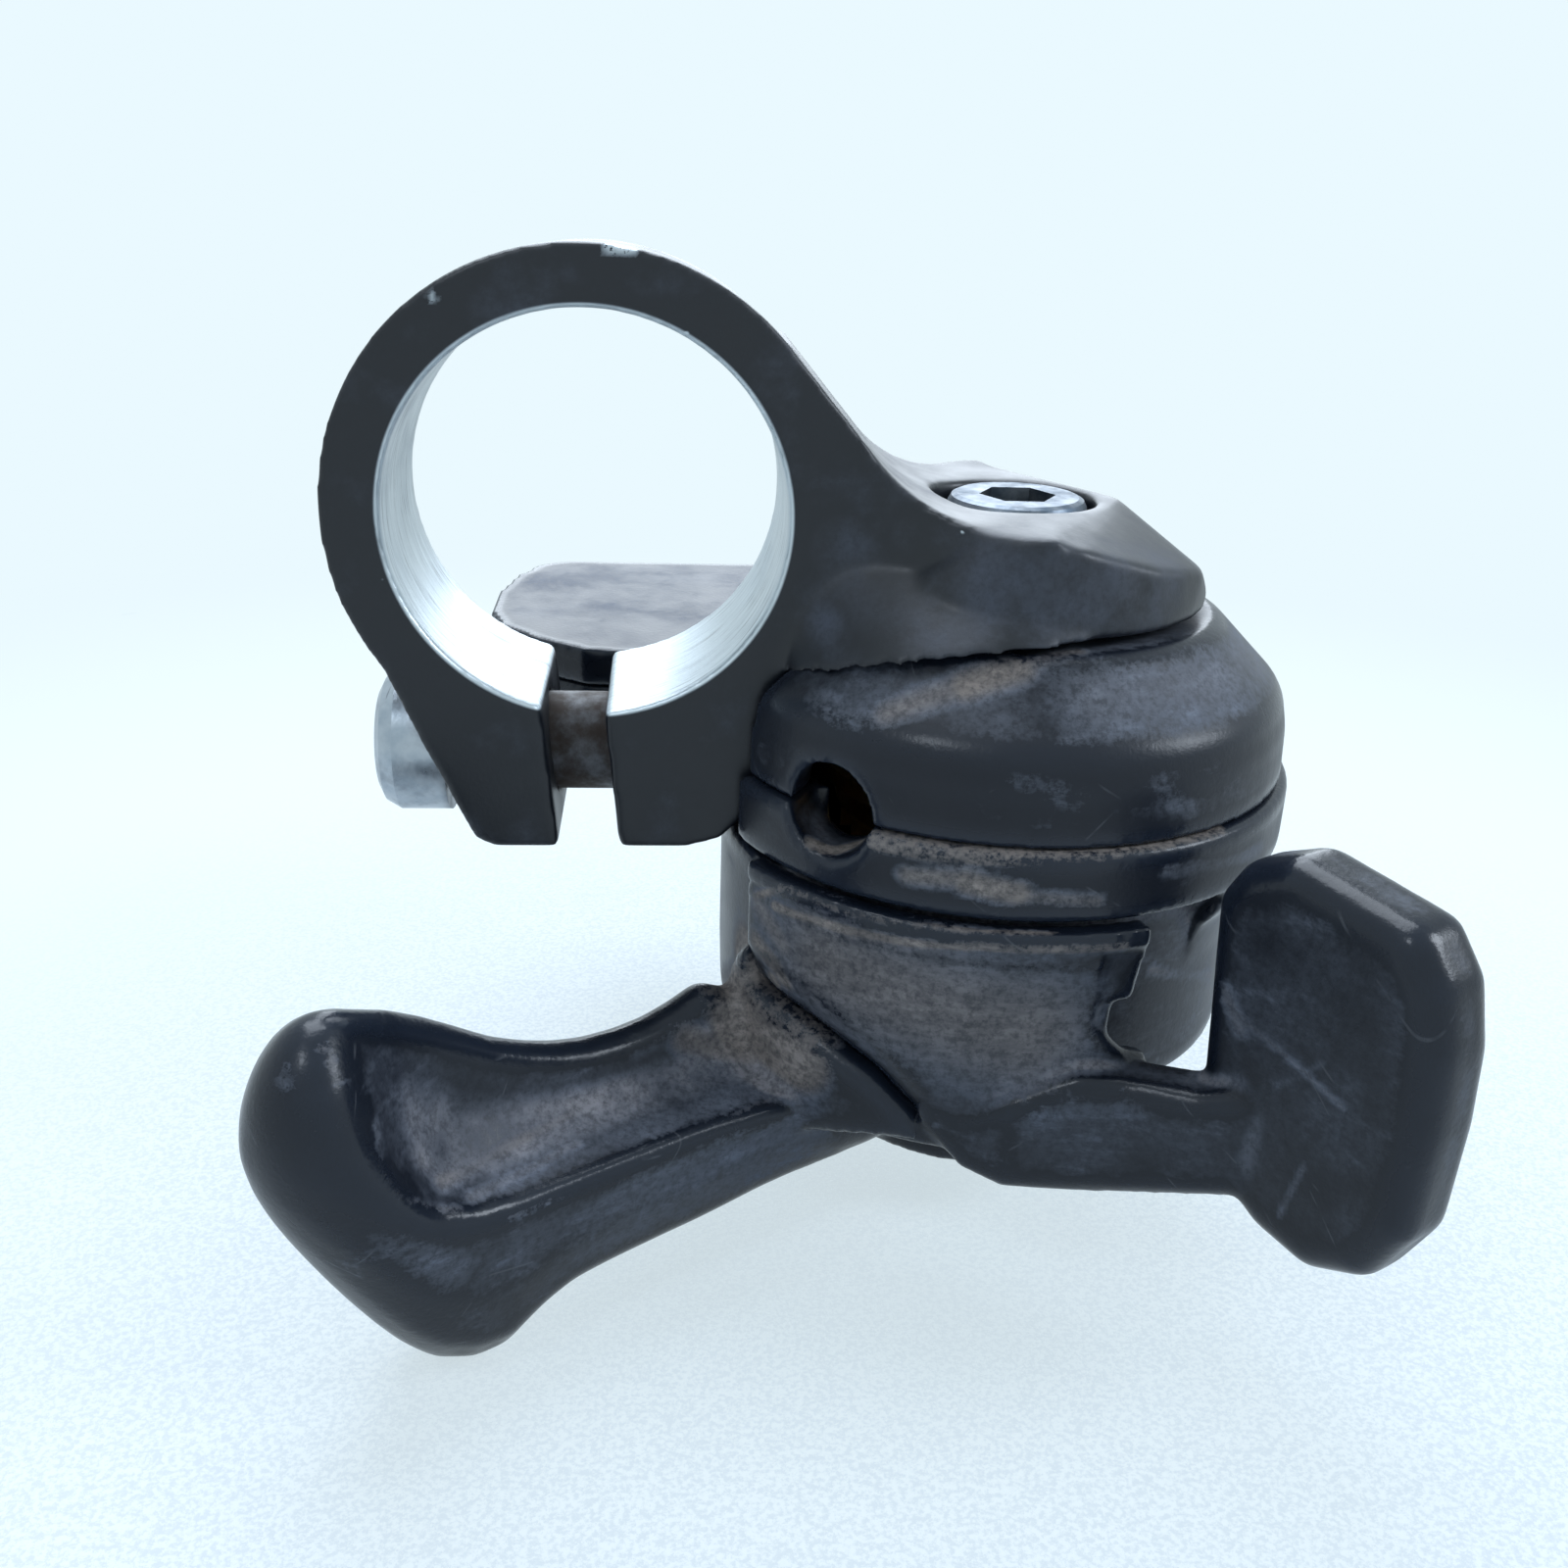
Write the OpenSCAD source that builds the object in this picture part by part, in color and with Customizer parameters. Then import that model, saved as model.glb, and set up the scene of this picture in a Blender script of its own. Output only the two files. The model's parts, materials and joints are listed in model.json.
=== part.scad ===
// Trigger shifter for a flat handlebar, right-hand side.
// Origin: centre of the handlebar bore, halfway along the clamp.
// +Y runs along the bar towards the stem, +X is forwards, +Z is up along the lever axle.

/* [Bar clamp] */
// Diameter of the handlebar
bar_d = 22.2; // [21.8:0.1:22.8]
// Wall of the clamp ring
ring_wall = 3.3; // [2.8:0.1:4.2]
// Draft of the clamp ring, from its outboard to its inboard face
ring_draft = 0.5; // [0:0.1:0.8]
// Width of the clamp along the bar
clamp_w = 12; // [10:0.5:13]
// Width of the slot between the clamp ears
slot_w = 3.5; // [2:0.25:4.5]
// Depth of the clamp ears below the bar centre
ear_drop = 19.6; // [18.6:0.2:19.8]
// Radius of the pad's round end
pad_r = 11.5; // [10.5:0.25:12]

/* [Bolts] */
// Shank of the pinch bolt
pinch_d = 6; // [5:0.5:6]
// Head diameter of the pinch bolt
pinch_head_d = 8.6; // [8:0.2:9]
// Height of the pinch bolt below the bar centre
pinch_drop = 15; // [14.6:0.2:15.4]
// Shank of the mounting bolt
mount_d = 5; // [4:0.5:5.5]
// Head diameter of the mounting bolt
mount_head_d = 8.2; // [7.5:0.1:8.4]
// Hexagon key across flats
key_af = 4; // [3:0.5:4.5]

/* [Housing] */
// Distance from the bar centre forwards to the lever axle
axle_x = 25; // [24.6:0.1:25.4]
// How far the lower housing's flange stands out from its hub
flange_step = 2.2; // [2:0.1:2.4]
// Ledge between the upper housing and the flange
ledge = 0.5; // [0.3:0.1:0.8]
// Radius of the lower housing's hub
hub_r = 15.5; // [15.2:0.1:15.6]
// Wall of the hub
hub_wall = 1.7; // [1.4:0.1:1.9]
// Length of the wing beside the bar
wing_l = 24; // [18:1:28]
// Diameter of the cable port
port_d = 5.2; // [4.4:0.2:5.6]

/* [Mechanism] */
// Number of tooth spaces in a full turn of the ratchets
tooth_count = 20; // [18:1:22]
// Number of teeth that are cut
teeth_cut = 9; // [6:1:10]
// Depth of the cable's groove in the spool
groove_h = 1.9; // [1.4:0.1:2.1]
// Depth of the ratchet teeth
tooth_h = 1.7; // [1.4:0.1:1.8]
// Diameter of the axle
axle_d = 7; // [6.6:0.1:7.2]
// Clearance of a running fit, on the radius
fit = 0.05; // [0.02:0.01:0.08]
// Gap between neighbouring moving pieces
gap = 0.3; // [0.25:0.05:0.35]

/* [Levers] */
// Direction of the thumb lever at rest, in degrees from +X
thumb_az = 212; // [210:1:214]
// Reach of the thumb lever from the axle
thumb_reach = 48.4; // [46:0.4:50]
// Direction of the release paddle at rest, in degrees from +X
paddle_az = 300; // [298:1:302]
// Thickness of the release paddle
paddle_t = 4.8; // [4:0.2:5.2]
// Wall of the release lever's skirt
skirt_wall = 1.2; // [1:0.1:1.3]

/* [Barrel adjuster] */
// Diameter of the cable housing that the adjuster takes
housing_d = 5; // [4:0.5:5]
// Outside diameter of the adjuster's knurled barrel
barrel_d = 9; // [8.6:0.2:9.6]
// Length of the adjuster's knurled barrel
barrel_l = 11; // [9:0.5:14]

/* [Hidden] */
$fn = 64;

bar_r = bar_d / 2;
ring_r = bar_r + ring_wall;

// Levels along the axle, from the top down
pad_top = 0.65;
pad_under = -4.9;
roof_z = -5.4;
cone_z = -9.5;
cavity_z = -10.4;
plate_z = -10.5;
plate_t = 1;
spool_top = -11.9;
cable_z = -14.3;
seam_z = -14.6;
neck_z = -18.7;
hold_z0 = -18.5;
hold_z1 = -16.5;
drive_z0 = -20.9;
drive_z1 = -18.8;
carrier_z = -21.3;
carrier_t = 1.4;
cam_z = -25.5;
cam_t = 1.4;
floor_top = -29.5;
floor_z = -31.5;
release_z = -31.8;
release_t = 2.4;
thumb_hub_z = -34.8;
thumb_hub_t = 4.8;
bowl_top = -19.3;

// Radii around the axle
axle_r = axle_d / 2;
drive_sleeve_r = 4.8;
cam_sleeve_r = 6.2;
flange_r = hub_r + flange_step;
upper_r = flange_r - ledge;
hub_cavity_r = hub_r - hub_wall;
upper_cavity_r = hub_cavity_r + 0.9;
bowl_in_r = hub_r + gap + 0.1;
bowl_out_r = bowl_in_r + 1.2;
skirt_in_r = bowl_in_r + 1;
skirt_out_r = skirt_in_r + skirt_wall;
pawl_pin_r = 0.8;
hold_pin_at = hub_cavity_r - 1.6;
drive_pin_at = hold_pin_at - 0.6;
spool_r = hold_pin_at - pawl_pin_r - 0.4;
cable_r = spool_r - 1;
pocket_r = spool_r - groove_h - 0.8;
hold_tip_r = spool_r - 1.1;
drive_tip_r = hold_tip_r - 0.3;
ear_wall_x = 12.3;
finger_r = hold_pin_at - 0.2;
boss_r = 4.6;
pitch = 360 / tooth_count;

// Directions of the pieces around the axle, at rest
hold_pin_az = 300;
drive_pin_az = 105;
port_az = 243;
port_at = [axle_x - 11.5, -12.2, cable_z];
hold_start = 250;
drive_start = drive_pin_az - 35.5 - pitch;
screw_points = [[-3.5, 16], [4, 27], [14, 25]];
end_washer_t = 0.6;
nut_t = 2.5;
nut_z = thumb_hub_z - thumb_hub_t - 0.1 - end_washer_t - nut_t;
cable_exit_x = axle_x + cable_r;
socket_y = 23;

// Points of an arc around c with radius r, from angle a0 to angle a1 in n steps
function arc(c, r, a0, a1, n) =
  [for (i = [0:n]) c + r * [cos(a0 + (a1 - a0) * i / n), sin(a0 + (a1 - a0) * i / n)]];
// Value of column k at x of a smooth curve through rows that start with x
function curve(rows, x, k) = let(
    n = len(rows) - 1,
    i = max([0, for (j = [0:n - 1]) if (rows[j][0] <= x) j]),
    h = rows[i + 1][0] - rows[i][0],
    t = (x - rows[i][0]) / h,
    a = max(i - 1, 0),
    b = min(i + 2, n),
    m0 = h * (rows[i + 1][k] - rows[a][k]) / (rows[i + 1][0] - rows[a][0]),
    m1 = h * (rows[b][k] - rows[i][k]) / (rows[b][0] - rows[i][0])
  ) (2 * t * t * t - 3 * t * t + 1) * rows[i][k] + (t * t * t - 2 * t * t + t) * m0
    + (3 * t * t - 2 * t * t * t) * rows[i + 1][k] + (t * t * t - t * t) * m1;
function mix(a, b, t) = a + (b - a) * t;
function polar(r, a) = r * [cos(a), sin(a)];

module at_axle(z = 0) {
  translate([axle_x, 0, z]) children();
}

// Extrudes an outline drawn in X and Z along the bar, centred on y
module along_bar(w, y = 0) {
  translate([0, y, 0]) rotate([90, 0, 0]) linear_extrude(height = w, center = true) children();
}

// Part of a turned shape around the axle, between two directions
module turned(az0, az1) {
  at_axle() rotate([0, 0, az0]) rotate_extrude(angle = az1 - az0, $fn = 96) children();
}

// Closed skin through sections that hold the same number of points
module loft(sections) {
  rings = len(sections);
  n = len(sections[0]);
  points = [for (s = sections) for (p = s) p];
  sides = [for (i = [0:rings - 2]) for (j = [0:n - 1]) each [
    [i * n + j, i * n + (j + 1) % n, (i + 1) * n + j],
    [i * n + (j + 1) % n, (i + 1) * n + (j + 1) % n, (i + 1) * n + j]
  ]];
  first = [[for (j = [0:n - 1]) n - 1 - j]];
  last = [[for (j = [0:n - 1]) (rings - 1) * n + j]];
  polyhedron(points = points, faces = concat(sides, first, last));
}

// Coil of round wire standing on z0, with whole turns as stacked rings joined by a post
module coil(r, wire, z0, turns, rise) {
  for (i = [0:turns - 1])
    translate([0, 0, z0 + wire / 2 + i * rise]) rotate_extrude($fn = 48)
      translate([r, 0]) circle(d = wire, $fn = 14);
  if (turns > 1)
    translate([r, 0, z0 + wire / 2]) cylinder(d = wire * 0.8, h = (turns - 1) * rise, $fn = 14);
}

// Side view of the neck between the ring and the pad, grown by c
module neck_side(c = 0) {
  offset(delta = c) polygon(concat(
    [[bar_r, -6], [bar_r - 2, 6], ring_r * [cos(40), sin(40)]],
    arc([22.2, pad_top + 8.3], 8.3, 220, 270, 12),
    [[axle_x, pad_top], [axle_x, pad_under], [21.5, -5.7], [16.6, -7.8], [11.8, -8.76],
     [10.9, -9.5]]
  ));
}

// Plan of the neck and the pad, grown by c
module neck_plan(c = 0) {
  half = clamp_w / 2;
  side = [[14, half], [16, half + 0.6], [18, half + 1.6], [20, half + 2.8], [22, half + 4.2]];
  offset(delta = c) polygon(concat(
    [[0, -half], [0, half]], side,
    arc([axle_x, 0], pad_r, 97, -97, 48),
    [for (i = [len(side) - 1:-1:0]) [side[i].x, -side[i].y]]
  ));
}

module neck(c = 0) {
  intersection() {
    along_bar(3 * pad_r) neck_side(c);
    translate([0, 0, pad_under - 9]) linear_extrude(height = 28) neck_plan(c);
  }
}

// Pad with a flat top whose edges fall away to a thinner rim
module pad() {
  rim = [[22.3, 9.6, 0.55], [23.7, 10.6, 0.5], [25.8, 10.6, 0], [28.1, 10, -0.7], [30.6, 8.8, -1.5],
    [32.4, 7.4, -1.9], [33.9, 5.8, -2.3], [35.2, 2, -3.1]];
  hull() {
    translate([axle_x, 0, pad_under]) cylinder(r = pad_r, h = 0.8, $fn = 96);
    for (p = rim, s = [-1, 1])
      translate([p.x, s * p.y, pad_under]) cylinder(r = 0.8, h = p.z - pad_under, $fn = 14);
    translate([0, 0, pad_top - 0.6]) linear_extrude(height = 0.6)
      polygon([[20.6, -7.6], [21.6, -8.4], [24.3, -6.5], [26.9, -5], [29.3, -2.3], [30.9, 0],
        [29.3, 2.3], [26.9, 5], [24.3, 6.5], [21.6, 8.4], [20.6, 7.6]]);
  }
}

module ears() {
  along_bar(clamp_w) difference() {
    polygon([
      ring_r * [cos(217), sin(217)], [-9.58, -13.13], [-6.79, 0.5 - ear_drop],
      [-5.67, -ear_drop], [5.6, -ear_drop], [7.63, 0.55 - ear_drop], [9.9, 2.9 - ear_drop],
      [10.68, -13.58], [10.84, -9.65], [11.77, -8.76], [9, -4], [-9, -4]
    ]);
    translate([-0.56, -15.1]) rotate(5.5) square([slot_w, 14], center = true);
  }
}

module clamp() {
  seat = -8.65;
  color([0.1, 0.11, 0.13]) difference() {
    union() {
      difference() {
        translate([0, -clamp_w / 2, 0]) rotate([-90, 0, 0])
          cylinder(r1 = ring_r, r2 = ring_r - ring_draft, h = clamp_w, $fn = 160);
        along_bar(2 * clamp_w) translate([-0.56, -15.1]) rotate(5.5)
          square([slot_w, 14], center = true);
      }
      ears();
      neck();
      pad();
    }
    along_bar(2 * clamp_w) circle(r = bar_r, $fn = 160);
    translate([seat, 0, -pinch_drop]) rotate([0, -90, 0])
      cylinder(d = pinch_head_d + 0.6, h = 6);
    translate([seat - 1, 0, -pinch_drop]) rotate([0, 90, 0]) cylinder(d = pinch_d + 0.1, h = 24);
    at_axle(pad_under - 1) cylinder(d = mount_d + 0.6, h = 8);
    for (dx = [0.2, -0.7])
      translate([axle_x + dx, 0, -2.2]) cylinder(d = mount_head_d + 0.6, h = 6);
    translate([axle_x - 0.7, -(mount_head_d + 0.6) / 2, -2.2])
      cube([0.9, mount_head_d + 0.6, 6]);
  }
}

// Socket head bolt standing on z 0 with its shank below
module bolt(shank_d, shank_l, head_d, head_h, key, dome) {
  difference() {
    union() {
      rotate_extrude() polygon([[0, 0], [head_d / 2, 0], [head_d / 2, head_h - dome],
        [head_d / 2 - dome * 0.4, head_h - dome * 0.3], [head_d / 2 - dome, head_h], [0, head_h]]);
      translate([0, 0, 0.5 - shank_l]) cylinder(d = shank_d, h = shank_l);
      translate([0, 0, -shank_l]) cylinder(d1 = shank_d - 1, d2 = shank_d, h = 0.5);
    }
    translate([0, 0, head_h - head_h * 0.6]) cylinder(d = key / cos(30), h = head_h, $fn = 6);
  }
}

module pinch_bolt() {
  color([0.7, 0.7, 0.7]) translate([-8.65, 0, -pinch_drop]) rotate([0, -90, 0])
    bolt(pinch_d, 18.5, pinch_head_d, 4.2, key_af, 1.2);
}

module mount_bolt() {
  color([0.62, 0.64, 0.66]) at_axle(-2.2) bolt(mount_d, 11, mount_head_d, 2.9, key_af, 0.5);
}

// Room for the mechanism, held back from the clamp's ear by a flat wall
module mechanism_room(r, z0, z1) {
  difference() {
    at_axle(z0) cylinder(r = r, h = z1 - z0, $fn = 96);
    translate([ear_wall_x - 20, -8, neck_z - 1.2]) cube([20, 16, 14]);
  }
}

// Room beside the housing for the clamp's forward ear
module ear_room() {
  translate([ear_wall_x - 21, -clamp_w / 2 - 0.5, neck_z]) cube([20, clamp_w + 1, 12.5]);
}

// Plan of the wing that reaches along the bar
module wing_plan(c = 0) {
  far = 8.5 + wing_l;
  offset(delta = c) polygon(concat(
    [[24, 8.5], [1.5, 8.5], [-1.2, 9], [-4.6, 11.4], [-7.2, 14.4], [-8.2, 17.5], [-8.2, far - 9.5],
     [-7.2, far - 4.2]],
    arc([-3.2, far - 3.4], 3.4, 180, 90, 8),
    [[12, far], [16, far - 1.5], [18.5, far - 6], [21, 17.5], [24, 16.5]]
  ));
}

// Cuts that both housings share: the port in front and the cable's way out
module cable_ways() {
  translate(port_at) rotate([0, 90, port_az]) translate([0, 0, -3.6]) cylinder(d = port_d, h = 12);
  translate([cable_exit_x, -2, cable_z]) rotate([-90, 0, 0]) cylinder(r = 1.1, h = 20, $fn = 24);
}

module adjuster_boss(r, y0) {
  translate([cable_exit_x, y0, cable_z]) rotate([-90, 0, 0])
    cylinder(r = r, h = socket_y - 0.5 - y0);
}

module upper_housing() {
  color([0.13, 0.14, 0.16]) difference() {
    union() {
      at_axle() rotate_extrude($fn = 128) polygon([[0, pad_under], [8, pad_under], [8.3, roof_z],
        [12.1, roof_z], [12.7, roof_z - 0.3], [16.3, cone_z + 0.3], [upper_r - 0.5, cone_z - 0.4],
        [upper_r - 0.15, -11.5], [upper_r, seam_z + 0.2], [upper_r - 0.2, seam_z], [0, seam_z]]);
      translate([0, 0, seam_z]) linear_extrude(height = 2.6) wing_plan();
      adjuster_boss(boss_r, 10);
    }
    difference() {
      translate([0, 0, seam_z - 0.1]) linear_extrude(height = 1.5) wing_plan(-1.4);
      at_axle(seam_z - 1) cylinder(r = upper_cavity_r + 1, h = 4);
      for (p = screw_points) translate([p.x, p.y, seam_z - 1]) cylinder(r = 2.2, h = 4);
    }
    mechanism_room(upper_cavity_r, seam_z - 0.1, cavity_z);
    at_axle(cavity_z - 0.1) cylinder(r = 6.2, h = 3);
    at_axle(cavity_z) cylinder(d = mount_d + 0.6, h = 8);
    ear_room();
    neck(0.4);
    cable_ways();
    adjuster_boss(3 + fit, 12);
    translate([cable_exit_x, 21, cable_z]) rotate([-90, 0, 0]) cylinder(r = 3 + fit, h = 4);
    for (p = screw_points) translate([p.x, p.y, seam_z - 1]) cylinder(r = 0.9, h = 2.6, $fn = 20);
  }
}

module lower_housing() {
  shoulder = [[0, seam_z], [flange_r - 0.25, seam_z], [flange_r, seam_z - 0.25],
    [flange_r, neck_z + 0.3], [flange_r - 0.2, neck_z + 0.1]];
  color([0.12, 0.13, 0.15]) difference() {
    union() {
      at_axle() rotate_extrude($fn = 128) polygon(concat(shoulder, [[flange_r - 0.2, neck_z],
        [hub_r, neck_z], [hub_r, floor_z + 0.5], [hub_r - 0.5, floor_z], [0, floor_z]]));
      turned(-52, 60) polygon([[hub_r - 1, neck_z + 0.5], [flange_r - 0.4, neck_z + 0.5],
        [flange_r - 0.4, neck_z - 0.2], [flange_r - 0.3, neck_z - 0.7], [16.7, -20.7],
        [hub_r + 0.4, -21.7], [hub_r + 0.1, -23.5], [hub_r - 0.1, -25], [hub_r - 1, -25]]);
      translate([0, 0, seam_z - 3.2]) linear_extrude(height = 3.2) wing_plan(-0.2);
    }
    difference() {
      translate([0, 0, seam_z - 1.8]) linear_extrude(height = 2) wing_plan(-1.6);
      at_axle(seam_z - 2) cylinder(r = hub_r, h = 4);
      for (p = screw_points) translate([p.x, p.y, seam_z - 2]) cylinder(r = 2.6, h = 4);
    }
    mechanism_room(hub_cavity_r, floor_top, seam_z + 0.1);
    at_axle(floor_z - 1) cylinder(r = cam_sleeve_r + fit, h = 4);
    ear_room();
    cable_ways();
    adjuster_boss(boss_r + 0.1, 5);
    for (p = screw_points) {
      translate([p.x, p.y, seam_z - 4]) cylinder(r = 1.25, h = 5, $fn = 24);
      translate([p.x, p.y, seam_z - 4]) cylinder(r = 2.1, h = 2, $fn = 32);
    }
  }
}

module housing_screws() {
  color([0.55, 0.56, 0.58]) for (p = screw_points) translate([p.x, p.y, seam_z - 2]) difference() {
    union() {
      translate([0, 0, -1.1]) cylinder(r1 = 1.6, r2 = 1.9, h = 1.1, $fn = 32);
      translate([0, 0, -0.2]) cylinder(r = 1.1, h = 2.2, $fn = 24);
      translate([0, 0, 2]) cylinder(r = 0.9, h = 1.4, $fn = 20);
    }
    for (a = [0, 90]) rotate([0, 0, a]) translate([-1.1, -0.22, -1.2]) cube([2.2, 0.44, 0.7]);
  }
}

module base_plate() {
  color([0.6, 0.61, 0.63]) difference() {
    mechanism_room(upper_cavity_r - 0.2, plate_z - plate_t, plate_z);
    translate([ear_wall_x - 20, -9, -14]) cube([20.3, 18, 4]);
    at_axle(-14) cylinder(r = axle_r + fit, h = 5);
    at_axle(-14) rotate([0, 0, hold_pin_az]) translate([hold_pin_at, 0, 0])
      cylinder(r = pawl_pin_r, h = 5, $fn = 24);
    for (a = [30, 75, 135, 225]) at_axle(-14) rotate([0, 0, a]) translate([9.5, 0, 0])
      cylinder(r = 1.6, h = 5, $fn = 32);
  }
}

module main_axle() {
  color([0.66, 0.67, 0.69]) difference() {
    at_axle() union() {
      translate([0, 0, -9]) cylinder(r = 6, h = 1.5);
      translate([0, 0, plate_z]) cylinder(r = 4.6, h = 2);
      translate([0, 0, nut_z - 0.4]) cylinder(r = axle_r, h = plate_z - nut_z + 0.9);
    }
    at_axle(-15.5) cylinder(d = mount_d + 2 * fit, h = 10);
    at_axle(nut_z - 1) cylinder(r = 1.2, h = 4, $fn = 24);
  }
}

module axle_nut() {
  color([0.66, 0.67, 0.69]) at_axle(nut_z) difference() {
    union() {
      cylinder(r = 4.9, h = nut_t, $fn = 6);
      translate([0, 0, nut_t - 0.6]) cylinder(r = 5.2, h = 0.6);
    }
    translate([0, 0, -1]) cylinder(r = axle_r, h = 5);
  }
}

module washer(z, t, r, bore) {
  at_axle(z) difference() {
    cylinder(r = r, h = t);
    translate([0, 0, -1]) cylinder(r = bore, h = t + 2);
  }
}

module end_washer() {
  color([0.7, 0.7, 0.7]) washer(nut_z + nut_t, end_washer_t, 6.6, axle_r + fit);
}

module lever_washer() {
  color([0.7, 0.7, 0.7]) washer(thumb_hub_z + 0.1, release_z - release_t - thumb_hub_z - 0.2, 7.5,
    drive_sleeve_r + fit);
}

// Outline of a ratchet ring with a run of saw teeth cut into its rim from direction a0
module ratchet_plan(tip, a0) {
  span = teeth_cut * pitch;
  difference() {
    circle(r = tip, $fn = 120);
    polygon(concat(
      [for (i = [0:teeth_cut - 1]) each [
        polar(tip - tooth_h, a0 + i * pitch), polar(tip - 0.1, a0 + (i + 1) * pitch)]],
      arc([0, 0], tip + 2, a0 + span, a0, 24)
    ));
  }
}

module cable_spool() {
  color([0.74, 0.74, 0.7]) at_axle() difference() {
    union() {
      difference() {
        rotate_extrude($fn = 120) polygon([[0, hold_z1], [spool_r, hold_z1], [spool_r, cable_z - 1.2],
          [spool_r - groove_h, cable_z - 0.4], [spool_r - groove_h, cable_z + 0.4], [spool_r, cable_z + 1.2],
          [spool_r, spool_top], [0, spool_top]]);
        translate([0, 0, spool_top - 2.2]) cylinder(r = pocket_r, h = 3);
      }
      translate([0, 0, spool_top - 2.3]) cylinder(r = 4.6, h = 2.3);
      translate([0, 0, hold_z0]) linear_extrude(height = hold_z1 - hold_z0)
        ratchet_plan(hold_tip_r, hold_start);
      translate([0, 0, drive_z0]) linear_extrude(height = drive_z1 - drive_z0)
        ratchet_plan(drive_tip_r, drive_start);
      translate([0, 0, drive_z0]) cylinder(r = hold_tip_r - tooth_h - 0.6, h = 4);
    }
    translate([0, 0, -30]) cylinder(r = axle_r + fit, h = 30);
    rotate([0, 0, 20]) translate([cable_r - 0.2, 0, cable_z - 1]) cylinder(r = 0.6, h = 6, $fn = 24);
  }
}

// Pawl seen from above with its pin on the X axis, pointing clockwise to a tip at radius rest
module pawl_plan(at, rest) {
  difference() {
    union() {
      translate([at, 0]) circle(r = 1.4, $fn = 40);
      polygon([polar(at - 1.3, 0), polar(at - 1.3, -8), polar(at - 1.1, -16), polar(rest + 0.7, -24),
        polar(rest, -30), polar(rest, -34), polar(rest + 1, -35), polar(rest + 1.8, -31),
        polar(at + 0.6, -22), polar(at + 1, -11), polar(at + 1.4, 0)]);
    }
    translate([at, 0]) circle(r = pawl_pin_r + fit, $fn = 32);
  }
}

module hold_pawl() {
  color([0.5, 0.5, 0.52]) at_axle() rotate([0, 0, hold_pin_az]) {
    translate([0, 0, hold_z0 + 0.1]) linear_extrude(height = 1.7)
      pawl_plan(hold_pin_at, hold_tip_r + gap);
    translate([(hold_pin_at - 0.5) * cos(-31), (hold_pin_at - 0.5) * sin(-31), hold_z0 - 1.1])
      cylinder(r = 0.5, h = 1.5, $fn = 24);
  }
}

module hold_pawl_pin() {
  color([0.7, 0.7, 0.7]) at_axle() rotate([0, 0, hold_pin_az]) translate([hold_pin_at, 0, 0]) {
    translate([0, 0, -20]) cylinder(r = pawl_pin_r, h = 20 + plate_z, $fn = 32);
    translate([0, 0, -20.4]) cylinder(r = 1.2, h = 0.5, $fn = 32);
  }
}

module hold_pawl_spring() {
  color([0.75, 0.75, 0.75]) at_axle() rotate([0, 0, hold_pin_az]) translate([hold_pin_at, 0, 0])
    coil(1.1, 0.4, -19.75, 2, 0.5);
}

module drive_carrier() {
  color([0.55, 0.56, 0.58]) at_axle() difference() {
    union() {
      translate([0, 0, carrier_z - carrier_t]) cylinder(r = 7, h = carrier_t);
      translate([0, 0, carrier_z - carrier_t]) linear_extrude(height = carrier_t)
        polygon(concat(arc([0, 0], drive_pin_at + 1.6, drive_pin_az - 12, drive_pin_az + 12, 8),
          [polar(6.5, drive_pin_az + 35), [0, 0], polar(6.5, drive_pin_az - 35)]));
      translate([0, 0, thumb_hub_z - thumb_hub_t])
        cylinder(r = drive_sleeve_r, h = carrier_z - thumb_hub_z + thumb_hub_t);
    }
    translate([0, 0, -45]) cylinder(r = axle_r + fit, h = 40);
    rotate([0, 0, drive_pin_az]) translate([drive_pin_at, 0, -30])
      cylinder(r = pawl_pin_r, h = 20, $fn = 32);
  }
}

module drive_pawl() {
  color([0.5, 0.5, 0.52]) at_axle() rotate([0, 0, drive_pin_az])
    translate([0, 0, drive_z0 + 0.1]) linear_extrude(height = 1.7)
      pawl_plan(drive_pin_at, drive_tip_r + gap);
}

module drive_pawl_pin() {
  color([0.7, 0.7, 0.7]) at_axle() rotate([0, 0, drive_pin_az]) translate([drive_pin_at, 0, 0]) {
    translate([0, 0, carrier_z - carrier_t]) cylinder(r = pawl_pin_r, h = 4.4, $fn = 32);
    translate([0, 0, carrier_z]) cylinder(r = 1.2, h = 0.3, $fn = 32);
  }
}

module drive_pawl_spring() {
  color([0.75, 0.75, 0.75]) at_axle() rotate([0, 0, drive_pin_az]) translate([drive_pin_at, 0, 0])
    coil(1.1, 0.4, drive_z1 + 0.1, 1, 0.4);
}

// Flat spiral band from radius r0 to r1
module spiral(r0, r1, band, turns, steps) {
  polygon(concat(
    [for (i = [0:steps]) polar(mix(r0, r1, i / steps), 360 * turns * i / steps)],
    [for (i = [steps:-1:0]) polar(mix(r0, r1, i / steps) + band, 360 * turns * i / steps)]
  ));
}

module spool_spring() {
  color([0.3, 0.32, 0.38]) at_axle(spool_top - 1.9) linear_extrude(height = 1.6)
    spiral(4.95, pocket_r - 0.7, 0.35, 3.5, 110);
}

module thumb_lever_spring() {
  color([0.75, 0.75, 0.75]) at_axle() coil(8.2, 0.9, cam_z + 0.35, 2, 1);
}

module release_lever_spring() {
  color([0.75, 0.75, 0.75]) at_axle() coil(9.2, 0.9, floor_top + 0.2, 2, 1.1);
}

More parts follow.
